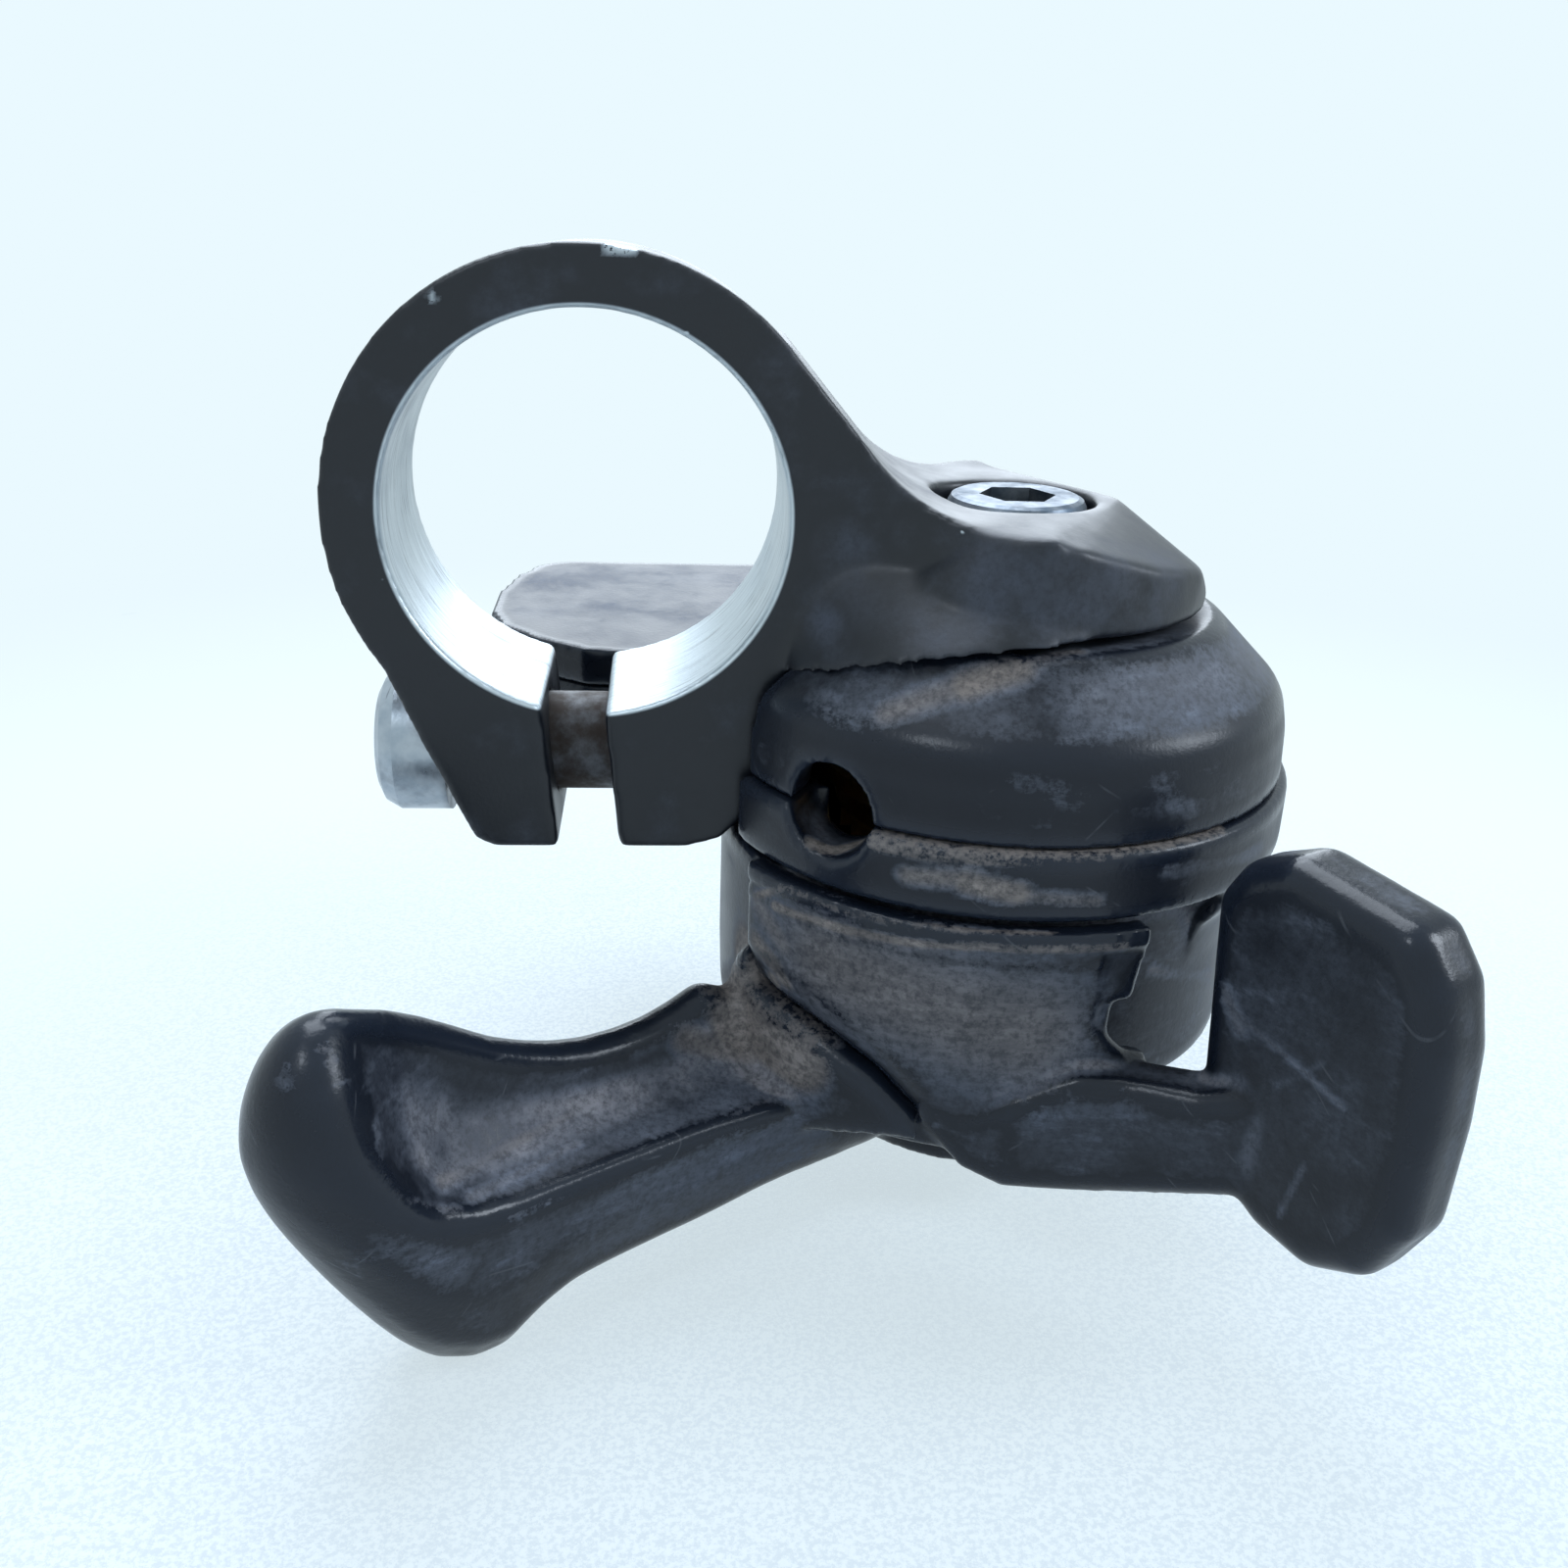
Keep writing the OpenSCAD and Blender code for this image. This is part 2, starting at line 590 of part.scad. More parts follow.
module release_cam() {
  color([0.55, 0.56, 0.58]) at_axle() difference() {
    union() {
      translate([0, 0, cam_z - cam_t]) cylinder(r = 9.5, h = cam_t);
      translate([0, 0, cam_z - cam_t]) linear_extrude(height = cam_t)
        polygon(concat([[0, 0]], arc([0, 0], finger_r + 0.4, 238, 254, 6)));
      translate([0, 0, cam_z - 0.5]) linear_extrude(height = hold_z0 - 0.4 - cam_z + 0.5)
        polygon([polar(hold_tip_r + 0.3, 242), polar(finger_r, 242), polar(finger_r, 248),
          polar(finger_r - 0.4, 252), polar(hold_tip_r + 0.3, 252)]);
      translate([0, 0, release_z - release_t])
        cylinder(r = cam_sleeve_r, h = cam_z - release_z + release_t);
    }
    translate([0, 0, -45]) cylinder(r = drive_sleeve_r + fit, h = 40);
  }
}

// Section of the thumb lever's arm in local Y and Z at distance u from the axle
thumb_rows = [
  [8, -35.4, -39.4, -36.6, 4.0, -1.0, -4.6, 0],
  [13, -34.4, -39.5, -35.5, 4.6, -1.5, -5.0, 0.3],
  [16, -31.2, -39.7, -33.6, 4.6, -2.4, -5.0, 0.8],
  [19, -27.4, -40.2, -32.8, 4.4, -2.5, -4.8, 1],
  [23.3, -28.3, -40.7, -32.6, 4.2, -2.3, -4.6, 1],
  [28.2, -28.3, -41.0, -32.6, 4.2, -2.2, -4.6, 1],
  [33, -26.7, -41.8, -32.6, 4.3, -2.1, -4.7, 1],
  [36.1, -24.7, -44.0, -32.5, 4.5, -2.0, -4.8, 1],
  [39.4, -22.5, -43.3, -32.0, 4.8, -1.7, -4.8, 0.9],
  [41.8, -21.2, -41.0, -31.0, 4.9, -1.0, -4.6, 0.55],
  [43.8, -20.4, -38.0, -29.6, 4.8, -0.3, -4.3, 0.15],
  [45.6, -20.9, -34.8, -28.3, 4.3, 0, -3.8, 0],
  [47.2, -22.8, -31.6, -27.2, 3.1, 0, -2.7, 0],
  [48.1, -24.9, -29.2, -27, 1.6, 0, -1.3, 0],
  [48.4, -26.4, -27.7, -27, 0.5, 0, -0.4, 0]
];
// Fractions of width and height around the scooped section, and the bulb's angle at each
function thumb_section(u) = let(
    top = curve(thumb_rows, u, 1),
    low = curve(thumb_rows, u, 2),
    front = curve(thumb_rows, u, 4),
    back = curve(thumb_rows, u, 6),
    scoop = min(1, max(0, curve(thumb_rows, u, 7))),
    r = (curve(thumb_rows, u, 3) - low) / (top - low),
    a = (curve(thumb_rows, u, 5) - back) / (front - back),
    shape = [
      [a - 0.12, 0.965, 100], [a, 1, 90], [a + 0.12, 0.965, 78],
      [a + 0.16, mix(0.94, r, 0.25), 62], [a + 0.22, mix(0.94, r, 0.55), 45],
      [mix(a, 1, 0.52), mix(0.94, r, 0.8), 32], [mix(a, 1, 0.8), mix(0.94, r, 0.93), 20],
      [0.97, r + 0.015, 10], [1, r - 0.02, 0], [0.97, r * 0.55, -24], [0.9, 0.13, -48],
      [0.75, 0.035, -68], [0.5, 0, -90], [0.25, 0.025, -110], [0.08, 0.12, -132],
      [0, 0.3, -158], [0, 0.6, 172], [0.03, 0.8, 146], [mix(0.03, a - 0.12, 0.5), 0.92, 120]
    ]
  ) [for (p = shape) [u * thumb_reach / 48.4,
    mix(back, front, mix(0.5 + 0.5 * cos(p[2]), p[0], scoop)),
    mix(low, top, mix(0.5 + 0.5 * sin(p[2]), p[1], scoop))]];

module thumb_lever() {
  stations = concat([for (u = [8:2:40]) u], [41, 42, 43, 44, 45, 46, 46.8, 47.5, 48, 48.4]);
  color([0.12, 0.13, 0.15]) difference() {
    union() {
      at_axle(thumb_hub_z - thumb_hub_t) cylinder(r = 10.2, h = thumb_hub_t);
      turned(118 + thumb_az - 212, thumb_az - 6) polygon([
        [8, thumb_hub_z - 4.3], [9.8, thumb_hub_z - 4.3],
        [bowl_out_r - 1, -34.8], [bowl_out_r - 0.1, -31.6], [bowl_out_r, -28.3],
        [bowl_out_r, bowl_top - 0.3], [bowl_out_r - 0.3, bowl_top], [bowl_in_r + 0.2, bowl_top],
        [bowl_in_r, bowl_top - 0.2], [bowl_in_r, -32], [11.5, -34.6], [8, -34.9]]);
      at_axle() rotate([0, 0, thumb_az]) loft([for (u = stations) thumb_section(u)]);
    }
    at_axle(-50) cylinder(r = drive_sleeve_r, h = 20);
    at_axle(thumb_hub_z) cylinder(r = 10.4, h = 6);
    at_axle(floor_z - 0.3) cylinder(r = bowl_in_r - 0.06, h = 14, $fn = 96);
  }
}

// Lower edge of the release lever's skirt by direction around the axle
skirt_rows = [[209, -26.5], [228, -27.5], [240, -29], [248, -31], [256, -33.2], [262, -34.4],
  [276, -34.4], [281, -30], [283, -26.5], [283.2, -24.3], [288, -23.9]];
// Section of the skirt: a rim on top, a second line below it and a chamfer along the lower edge
function skirt_section(az) = let(
    low = lookup(az, skirt_rows),
    inset = az > 279.5 ? 0.35 : 0,
    out = skirt_out_r - inset
  ) [for (p = [
    [skirt_in_r, low], [out - 0.8, low], [out - 0.7, low + 0.1], [out, low + 2.2],
    [out, -21.3], [out + 0.15, -21.1], [out + 0.15, -20.7], [skirt_out_r - 0.1, -20.2],
    [skirt_out_r + 0.25, -20], [skirt_out_r + 0.25, -19], [skirt_in_r, -19]
  ]) [p[0] * cos(az), p[0] * sin(az), p[1]]];
skirt_stations = concat([for (a = [209:3:278]) a], [279.4, 279.6, 281, 283, 283.2, 288]);

// Stations of the release lever's arm: place in plan, lower and upper level, half thickness
arm_rows = [[18.8, -16.3, -31.2, -30.2, 0.6], [21.3, -17.2, -34, -30.4, 0.9],
  [23.6, -17.7, -34.9, -29.1, 1.2], [27, -17.9, -35.0, -27.4, 1.4], [30, -18.3, -34.7, -27.3, 1.7],
  [33.5, -20, -33.6, -27, 1.8], [36.8, -21.6, -32.6, -25.6, 1.8]];
function arm_section(i) = let(
    p = arm_rows[i],
    d = arm_rows[min(i + 1, len(arm_rows) - 1)] - arm_rows[max(i - 1, 0)],
    side = [-d.y, d.x] / norm([d.x, d.y]),
    h = p[3] - p[2]
  ) [for (q = [[-1, 0.9], [-0.7, 1], [0.7, 1], [1, 0.9], [1, 0.12], [0.7, 0], [-0.7, 0], [-1, 0.12]])
    [p[0] + side.x * p[4] * q[0], p[1] + side.y * p[4] * q[0], p[2] + h * q[1]]];

// Paddle: a slab whose rim is rounded on both sides and flat between them
module paddle() {
  r = 1.6;
  corners = [[21.6, -16.8], [22.4, -15.4], [24.6, -14.3], [30.8, -15], [32.1, -16.6],
    [32.8, -19.5], [33, -23.5], [32.8, -29], [31.4, -31.8], [29, -33], [26.2, -32.6],
    [22.6, -30.6]];
  at_axle() rotate([0, 0, paddle_az]) hull()
    for (p = corners, s = [-1, 1]) translate([p.x, s * (paddle_t / 2 - r), p.y])
      sphere(r = r, $fn = 18);
}

module release_lever() {
  color([0.12, 0.13, 0.15]) difference() {
    union() {
      at_axle(release_z - release_t) cylinder(r = 9.8, h = release_t);
      turned(240, 280) polygon([[7, release_z - release_t], [15.5, release_z - release_t],
        [skirt_out_r - 0.3, release_z - 1.4], [skirt_out_r - 0.3, release_z], [7, release_z]]);
      at_axle() loft([for (az = skirt_stations) skirt_section(az)]);
      loft([for (i = [0:len(arm_rows) - 1]) arm_section(i)]);
      paddle();
    }
    at_axle(-50) cylinder(r = cam_sleeve_r, h = 30);
    at_axle(release_z) cylinder(r = hub_r + gap, h = 20, $fn = 96);
  }
}

// Outline of a round grip with flutes around it
module knurl_plan(r, flutes, depth) {
  polygon([for (i = [0:flutes - 1], k = [[0, 0], [0.5, 0], [0.62, depth], [0.88, depth]])
    polar(r - k[1], 360 * (i + k[0]) / flutes)]);
}

module barrel_adjuster() {
  grip_y = socket_y + 2;
  color([0.12, 0.12, 0.13]) translate([cable_exit_x, 0, cable_z]) rotate([-90, 0, 0]) difference() {
    union() {
      translate([0, 0, 12.4]) cylinder(r = 3, h = grip_y - 12);
      translate([0, 0, grip_y]) cylinder(d = barrel_d - 0.6, h = barrel_l);
      translate([0, 0, grip_y + 1]) linear_extrude(height = barrel_l - 4)
        knurl_plan(barrel_d / 2, 18, 0.45);
    }
    translate([0, 0, grip_y + barrel_l - 7]) cylinder(d = housing_d + 0.2, h = 8);
    translate([0, 0, 10]) cylinder(r = 1, h = 40, $fn = 24);
  }
}

module adjuster_spring() {
  color([0.75, 0.75, 0.75]) translate([cable_exit_x, 0, cable_z]) rotate([-90, 0, 0])
    coil(3.8, 0.7, socket_y - 0.3, 2, 1);
}

clamp();
pinch_bolt();
mount_bolt();
upper_housing();
lower_housing();
housing_screws();
base_plate();
main_axle();
axle_nut();
end_washer();
lever_washer();
cable_spool();
spool_spring();
hold_pawl();
hold_pawl_pin();
hold_pawl_spring();
drive_carrier();
drive_pawl();
drive_pawl_pin();
drive_pawl_spring();
thumb_lever_spring();
release_cam();
release_lever_spring();
thumb_lever();
release_lever();
barrel_adjuster();
adjuster_spring();
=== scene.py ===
# %% [markdown]
# A worn trigger shifter from the right-hand side of a flat handlebar, as it lay on a white
# table. The solid model comes in as a fixed frame: every piece keeps the place that it has
# there, and this lesson gives each one its finish, its light and its camera.

# %% Load the frame
import json
import math
import bmesh
import bpy
from mathutils import Matrix, Vector
from mathutils.bvhtree import BVHTree


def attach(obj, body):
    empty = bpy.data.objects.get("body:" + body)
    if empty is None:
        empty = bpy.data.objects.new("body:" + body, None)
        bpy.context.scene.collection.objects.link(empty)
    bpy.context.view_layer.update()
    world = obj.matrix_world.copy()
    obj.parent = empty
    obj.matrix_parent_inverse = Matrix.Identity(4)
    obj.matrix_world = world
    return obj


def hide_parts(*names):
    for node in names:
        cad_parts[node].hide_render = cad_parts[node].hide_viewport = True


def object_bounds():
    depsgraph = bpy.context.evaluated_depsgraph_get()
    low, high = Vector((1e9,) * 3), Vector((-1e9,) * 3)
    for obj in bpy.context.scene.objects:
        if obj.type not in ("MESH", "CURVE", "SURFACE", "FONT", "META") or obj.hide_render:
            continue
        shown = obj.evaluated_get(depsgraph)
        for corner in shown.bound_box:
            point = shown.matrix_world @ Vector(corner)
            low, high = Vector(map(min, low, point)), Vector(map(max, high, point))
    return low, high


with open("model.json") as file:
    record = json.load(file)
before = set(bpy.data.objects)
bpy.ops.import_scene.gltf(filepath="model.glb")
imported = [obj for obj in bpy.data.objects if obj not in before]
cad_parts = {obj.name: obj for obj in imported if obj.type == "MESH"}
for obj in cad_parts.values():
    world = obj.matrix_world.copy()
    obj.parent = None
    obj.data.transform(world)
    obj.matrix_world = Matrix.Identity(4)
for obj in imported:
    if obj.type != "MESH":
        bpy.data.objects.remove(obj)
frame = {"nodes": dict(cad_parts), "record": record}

cad_box = [list(corner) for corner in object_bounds()]
print("pieces:", len(frame["nodes"]), "box:", cad_box)

# %% [markdown]
# Every colour below is written as a hex value, as a designer would read it off a swatch.
# Blender's shaders work in linear light, so one function turns the hex value into that.

# %% Colour and node helpers
def linear(hex_value):
    parts = [int(hex_value[i:i + 2], 16) / 255 for i in (1, 3, 5)]
    return [p / 12.92 if p <= 0.04045 else ((p + 0.055) / 1.055) ** 2.4 for p in parts] + [1.0]


def add_node(tree, kind, links=(), **settings):
    node = tree.nodes.new(kind)
    for name, value in settings.items():
        if name.startswith("in_"):
            key = name[3:]
            node.inputs[int(key) if key.isdigit() else key.replace("_", " ")].default_value = value
        else:
            setattr(node, name, value)
    for socket, source in links:
        tree.links.new(source, node.inputs[socket])
    return node


def new_material(name):
    material = bpy.data.materials.new(name)
    material.use_nodes = True
    tree = material.node_tree
    shader = tree.nodes["Principled BSDF"]
    place = add_node(tree, "ShaderNodeTexCoord").outputs["Object"]
    return material, tree, shader, place


def seen_directly(tree):
    rays = add_node(tree, "ShaderNodeLightPath").outputs
    total = add_node(tree, "ShaderNodeMath", [(0, rays["Is Camera Ray"]), (1, rays["Is Glossy Ray"])],
                     operation="MAXIMUM").outputs[0]
    return add_node(tree, "ShaderNodeMath", [(0, total), (1, rays["Is Transmission Ray"])],
                    operation="MAXIMUM").outputs[0]


# %% [markdown]
# The camera stands where the photograph was taken from: a hand's width outboard of the
# clamp, looking along the bar and a little down.

# %% Camera
camera_data = bpy.data.cameras.new("photo_camera")
camera_data.lens = 35.24
camera_data.sensor_width = 36
camera_data.clip_start = 0.005
camera = bpy.data.objects.new("photo_camera", camera_data)
bpy.context.scene.collection.objects.link(camera)
right = Vector((0.99734527, -0.06486739, 0.03308535))
up = Vector((-0.00583336, 0.38172502, 0.92425753))
back = right.cross(up)
turn = Matrix((right, up, back)).transposed().to_4x4()
camera.matrix_world = Matrix.Translation((0.00476294, -0.08921170, 0.01889770)) @ turn
bpy.context.scene.camera = camera
PHOTO_SIZE = 1600
PIXELS_PER_SLOPE = camera_data.lens / camera_data.sensor_width * PHOTO_SIZE

# %% [markdown]
# The table runs up into a backdrop in one sweep, so no horizon shows. It is drawn with one
# spin of an edge and one extrusion, because a sweep has to be smooth and nothing else.

# %% Table and backdrop
TABLE_Z = cad_box[0][2]
sweep = bmesh.new()
ends = [sweep.verts.new((-1.5, y, TABLE_Z)) for y in (-1.2, 0.5)]
sweep.edges.new(ends)
bmesh.ops.spin(sweep, geom=[ends[1]], cent=(-1.5, 0.5, TABLE_Z + 0.4), axis=(1, 0, 0),
               angle=math.radians(85), steps=16)
near_side = sweep.verts[:]
bmesh.ops.extrude_edge_only(sweep, edges=sweep.edges[:])
bmesh.ops.translate(sweep, vec=(3.0, 0, 0), verts=[v for v in sweep.verts if v not in near_side])
sweep_mesh = bpy.data.meshes.new("table")
sweep.to_mesh(sweep_mesh)
sweep.free()
table = bpy.data.objects.new("table", sweep_mesh)
bpy.context.scene.collection.objects.link(table)
sweep_mesh.shade_smooth()
print("table at", TABLE_Z)

# %% [markdown]
# A sheet of white laminate is never quite clean: it has a fine grain of about half a
# millimetre, and a few dark crumbs lie on it. The grain is painted shade: its bluish-grey
# specks show only round the spot under the shifter, where the shifter's shadow falls. The
# sheet is partly self-lit to the camera and to mirror rays, which keeps it near white while
# the soft shadow under the shifter stays.

# %% White laminate
UNDER_SHIFTER = (0.02, -0.02, TABLE_Z)
white_table, tree, shader, place = new_material("white_laminate")
grain = add_node(tree, "ShaderNodeTexNoise", [("Vector", place)], in_Scale=3200.0,
                 in_Detail=3.0, in_Roughness=0.75).outputs[0]
away = add_node(tree, "ShaderNodeVectorMath", [(0, place)], operation="DISTANCE",
                in_1=UNDER_SHIFTER).outputs["Value"]
shade_zone = add_node(tree, "ShaderNodeMapRange", [("Value", away)], interpolation_type="SMOOTHSTEP",
                   in_1=0.03, in_2=0.11, in_3=1.0, in_4=0.0).outputs[0]
crumbs = add_node(tree, "ShaderNodeTexNoise", [("Vector", place)], in_Scale=190.0,
                  in_Detail=2.0, in_Roughness=0.5).outputs[0]
crumb = add_node(tree, "ShaderNodeMapRange", [("Value", crumbs)], in_1=0.775, in_2=0.79)
# Painted shade: a bluish-grey speckle, shown only near the spot under the shifter where its shadow
# falls.
painted_shade_speckle = add_node(tree, "ShaderNodeMapRange", [("Value", grain)], in_1=0.56, in_2=0.42)
painted_shade_speckle = add_node(tree, "ShaderNodeMath", [(0, painted_shade_speckle.outputs[0]), (1, shade_zone)], operation="MULTIPLY")
paper = add_node(tree, "ShaderNodeMix", [(0, painted_shade_speckle.outputs[0])], data_type="RGBA",
                 in_6=linear("#F2F9FB"), in_7=linear("#B4C4D8")).outputs[2]
sheet = add_node(tree, "ShaderNodeMix", [(0, crumb.outputs[0]), (6, paper)], data_type="RGBA",
                 in_7=linear("#3A4A5C")).outputs[2]
tree.links.new(sheet, shader.inputs["Base Color"])
shader.inputs["Roughness"].default_value = 0.9
shader.inputs["Specular IOR Level"].default_value = 0.1
own_light = add_node(tree, "ShaderNodeMapRange", [("Value", away)], interpolation_type="SMOOTHSTEP",
                     in_1=0.05, in_2=0.19, in_3=0.7, in_4=1.0).outputs[0]
share = add_node(tree, "ShaderNodeMath", [(0, seen_directly(tree)), (1, own_light)],
                 operation="MULTIPLY")
glow = add_node(tree, "ShaderNodeEmission", in_Color=linear("#EAF9FF"), in_Strength=1.0)
both = add_node(tree, "ShaderNodeMixShader", [(0, share.outputs[0]), (1, shader.outputs[0]),
                                              (2, glow.outputs[0])])
tree.links.new(both.outputs[0], tree.nodes["Material Output"].inputs["Surface"])
sweep_mesh.materials.append(white_table)

# %% [markdown]
# The photograph's light is that of a bright, overcast window: broad, from above and behind,
# so that every upward face gleams and the faces towards the camera stay nearly black. A big
# lamp low behind the shifter stands where flat tops mirror it to the camera. The world looks
# white to the camera and in mirrors, but it lights the shifter only weakly.

# %% World and lamps
world = bpy.data.worlds.new("studio")
bpy.context.scene.world = world
world.use_nodes = True
tree = world.node_tree
tree.nodes.clear()
soft = add_node(tree, "ShaderNodeBackground", in_Color=linear("#C4DCF6"), in_Strength=0.38)
white = add_node(tree, "ShaderNodeBackground", in_Color=linear("#EAF9FF"), in_Strength=1.0)
seen = seen_directly(tree)
both = add_node(tree, "ShaderNodeMixShader", [(0, seen), (1, soft.outputs[0]), (2, white.outputs[0])])
add_node(tree, "ShaderNodeOutputWorld", [("Surface", both.outputs[0])])


def add_lamp(name, place, target, size, power):
    data = bpy.data.lights.new(name, "AREA")
    data.color = linear("#E9F3FF")[:3]
    data.size = size
    data.energy = power
    lamp = bpy.data.objects.new(name, data)
    bpy.context.scene.collection.objects.link(lamp)
    lamp.location = place
    lamp.rotation_euler = (Vector(target) - Vector(place)).to_track_quat("-Z", "Y").to_euler()
    lamp.visible_camera = False
    return lamp


middle = (0.015, 0, -0.015)
add_lamp("window", (-0.05, 0.25, 0.5), middle, 0.45, 4.0)
add_lamp("low_window", (0.08, 0.6, 0.26), middle, 0.5, 2.6)
add_lamp("side_window", (0.5, -0.1, 0.3), middle, 0.2, 1.6)
add_lamp("front_lamp", (-0.25, -0.3, 0.45), middle, 0.12, 0.5)
bpy.context.scene.view_settings.view_transform = "Standard"

# %% [markdown]
# The solids have edges that are sharper than any moulding. Each outer piece is therefore
# given a fine, even skin: the solid is turned into small cells and eased, which rounds every
# edge by a fraction of a millimetre. A bevel would do this on simple solids only, because the
# levers and the housing meet in curves that a bevel can't follow.

# %% Copy a node's mesh and merge its loose triangles
import numpy as np


def merged_copy(node, extra=None):
    mesh = frame["nodes"][node].data.copy()
    shape = bmesh.new()
    shape.from_mesh(mesh)
    bmesh.ops.remove_doubles(shape, verts=shape.verts, dist=1e-6)
    if extra:
        extra(shape)
    shape.to_mesh(mesh)
    shape.free()
    return mesh


# %% [markdown]
# The same skin tells where a finger rubs and where dust settles. A point that stands out from
# its eased neighbourhood is rubbed, one that lies below it is hollow, and one that looks up
# lies open to the sky. These go into attributes, which the finishes read as they would a map.
# Full rub and full hollow are told in millimetres.

# %% Read wear from the shape
def eased(values, edges, count, rounds):
    for _ in range(rounds):
        total = np.zeros_like(values)
        np.add.at(total, edges[:, 0], values[edges[:, 1]])
        np.add.at(total, edges[:, 1], values[edges[:, 0]])
        values = 0.5 * values + 0.5 * total / count[:, None]
    return values


def carried(point, surface):
    if len(point) == 3:
        return np.array(point, dtype=float)
    column, row = point
    slope = Vector((column - PHOTO_SIZE / 2, PHOTO_SIZE / 2 - row, -PIXELS_PER_SLOPE))
    hit = surface.ray_cast(camera.matrix_world.translation, turn.to_3x3() @ slope.normalized())[0]
    return hit and np.array(hit) * 1000


def smeared(points, smears, surface):
    amount = np.zeros(len(points))
    for path, radius, strength in smears:
        places = [carried(point, surface) for point in path]
        places = [place for place in places if place is not None]
        for a, b in zip(places, places[1:] or places):
            along = np.clip((points - a) @ (b - a) / max(1e-6, (b - a) @ (b - a)), 0, 1)
            off = np.linalg.norm(points - a - along[:, None] * (b - a), axis=1)
            amount = np.maximum(amount, strength * np.clip(1 - (off / radius) ** 2, 0, 1))
    return amount


NEAR_ROUNDS, FAR_ROUNDS = 14, 110
RUB_FULL, HOLLOW_FULL = 0.10, 0.35


def mark_wear(mesh, smears, surface):
    size = len(mesh.vertices)
    points = np.empty(size * 3)
    mesh.vertices.foreach_get("co", points)
    points = points.reshape(-1, 3) * 1000
    normals = np.empty(size * 3)
    mesh.vertices.foreach_get("normal", normals)
    normals = normals.reshape(-1, 3)
    edges = np.empty(len(mesh.edges) * 2, dtype=np.int64)
    mesh.edges.foreach_get("vertices", edges)
    edges = edges.reshape(-1, 2)
    count = np.maximum(1, np.bincount(edges.ravel(), minlength=size)).astype(float)
    near = eased(points, edges, count, NEAR_ROUNDS)
    far = eased(near, edges, count, FAR_ROUNDS)
    marks = {"rub": ((points - near) * normals).sum(1) / RUB_FULL,
             "hollow": -((points - far) * normals).sum(1) / HOLLOW_FULL}
    for name in marks:
        marks[name] = eased(np.clip(marks[name], 0, 1)[:, None], edges, count, 2)[:, 0]
    marks["sky"] = np.clip((normals[:, 2] - 0.35) / 0.5, 0, 1)
    marks["dust_and_painted_light"] = smeared(points, smears.get("dust_and_painted_light", ()), surface)
    marks["bare"] = smeared(points, smears.get("bare", ()), surface)
    for name, values in marks.items():
        attribute = mesh.attributes.new(name, "FLOAT", "POINT")
        attribute.data.foreach_set("value", values.astype(np.float32))


# %% [markdown]
# One function makes a skin, lets it ride on the body of its solid and stand for that solid.
# The cells are a fifth to a third of a millimetre, which is finer than a pixel shows.

# %% Make a skin
def skin(node, cell, rounds, finish, smears, extra=None):
    start = bpy.data.objects.new("start", merged_copy(node, extra))
    bpy.context.scene.collection.objects.link(start)
    remesh = start.modifiers.new("cells", "REMESH")
    remesh.mode = "VOXEL"
    remesh.voxel_size = cell
    ready = start.evaluated_get(bpy.context.evaluated_depsgraph_get())
    mesh = bpy.data.meshes.new_from_object(ready)
    bpy.data.objects.remove(start)
    shape = bmesh.new()
    shape.from_mesh(mesh)
    for _ in range(rounds):
        bmesh.ops.smooth_vert(shape, verts=shape.verts, factor=0.5, use_axis_x=True,
                              use_axis_y=True, use_axis_z=True)
    shape.to_mesh(mesh)
    surface = BVHTree.FromBMesh(shape)
    shape.free()
    mesh.shade_smooth()
    mark_wear(mesh, smears, surface)
    mesh.materials.clear()
    mesh.materials.append(finish)
    piece = bpy.data.objects.new(node + "_skin", mesh)
    bpy.context.scene.collection.objects.link(piece)
    body = next(b for b, nodes in frame["record"]["behaviour"]["bodies"].items() if node in nodes)
    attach(piece, body)
    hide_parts(node)
    print(piece.name, "cells:", len(mesh.polygons))
    return piece


# %% [markdown]
# Five small helpers keep the finishes short. A spread is a soft step between two values, and
# a noise is one octave pattern whose scale is given per metre, so 1000 is a millimetre.

# %% Helpers for the finishes
def math_node(tree, operation, first, second):
    links = [(k, v) for k, v in ((0, first), (1, second)) if not isinstance(v, (int, float))]
    node = add_node(tree, "ShaderNodeMath", links, operation=operation, use_clamp=True)
    for k, v in ((0, first), (1, second)):
        if isinstance(v, (int, float)):
            node.inputs[k].default_value = v
    return node.outputs[0]


def spread(tree, value, low, high, to_low=0.0, to_high=1.0):
    return add_node(tree, "ShaderNodeMapRange", [("Value", value)], interpolation_type="SMOOTHSTEP",
                    in_1=low, in_2=high, in_3=to_low, in_4=to_high).outputs[0]


def noise(tree, place, scale, detail=4.0, roughness=0.55):
    return add_node(tree, "ShaderNodeTexNoise", [("Vector", place)], in_Scale=scale,
                    in_Detail=detail, in_Roughness=roughness).outputs[0]


def mark(tree, name):
    return add_node(tree, "ShaderNodeAttribute", attribute_name=name).outputs["Fac"]


def mix_colour(tree, amount, first, second):
    links = [(0, amount)] + [(k, v) for k, v in ((6, first), (7, second)) if not isinstance(v, str)]
    node = add_node(tree, "ShaderNodeMix", links, data_type="RGBA")
    for k, v in ((6, first), (7, second)):
        if isinstance(v, str):
            node.inputs[k].default_value = linear(v)
    return node.outputs[2]


# %% [markdown]
# Fingers, sleeves and a workshop floor leave hair-thin scratches. The crests of a fine wave
# are straight lines two millimetres apart, of which a noise leaves only a few short pieces.
# They are about a twentieth of a millimetre wide.

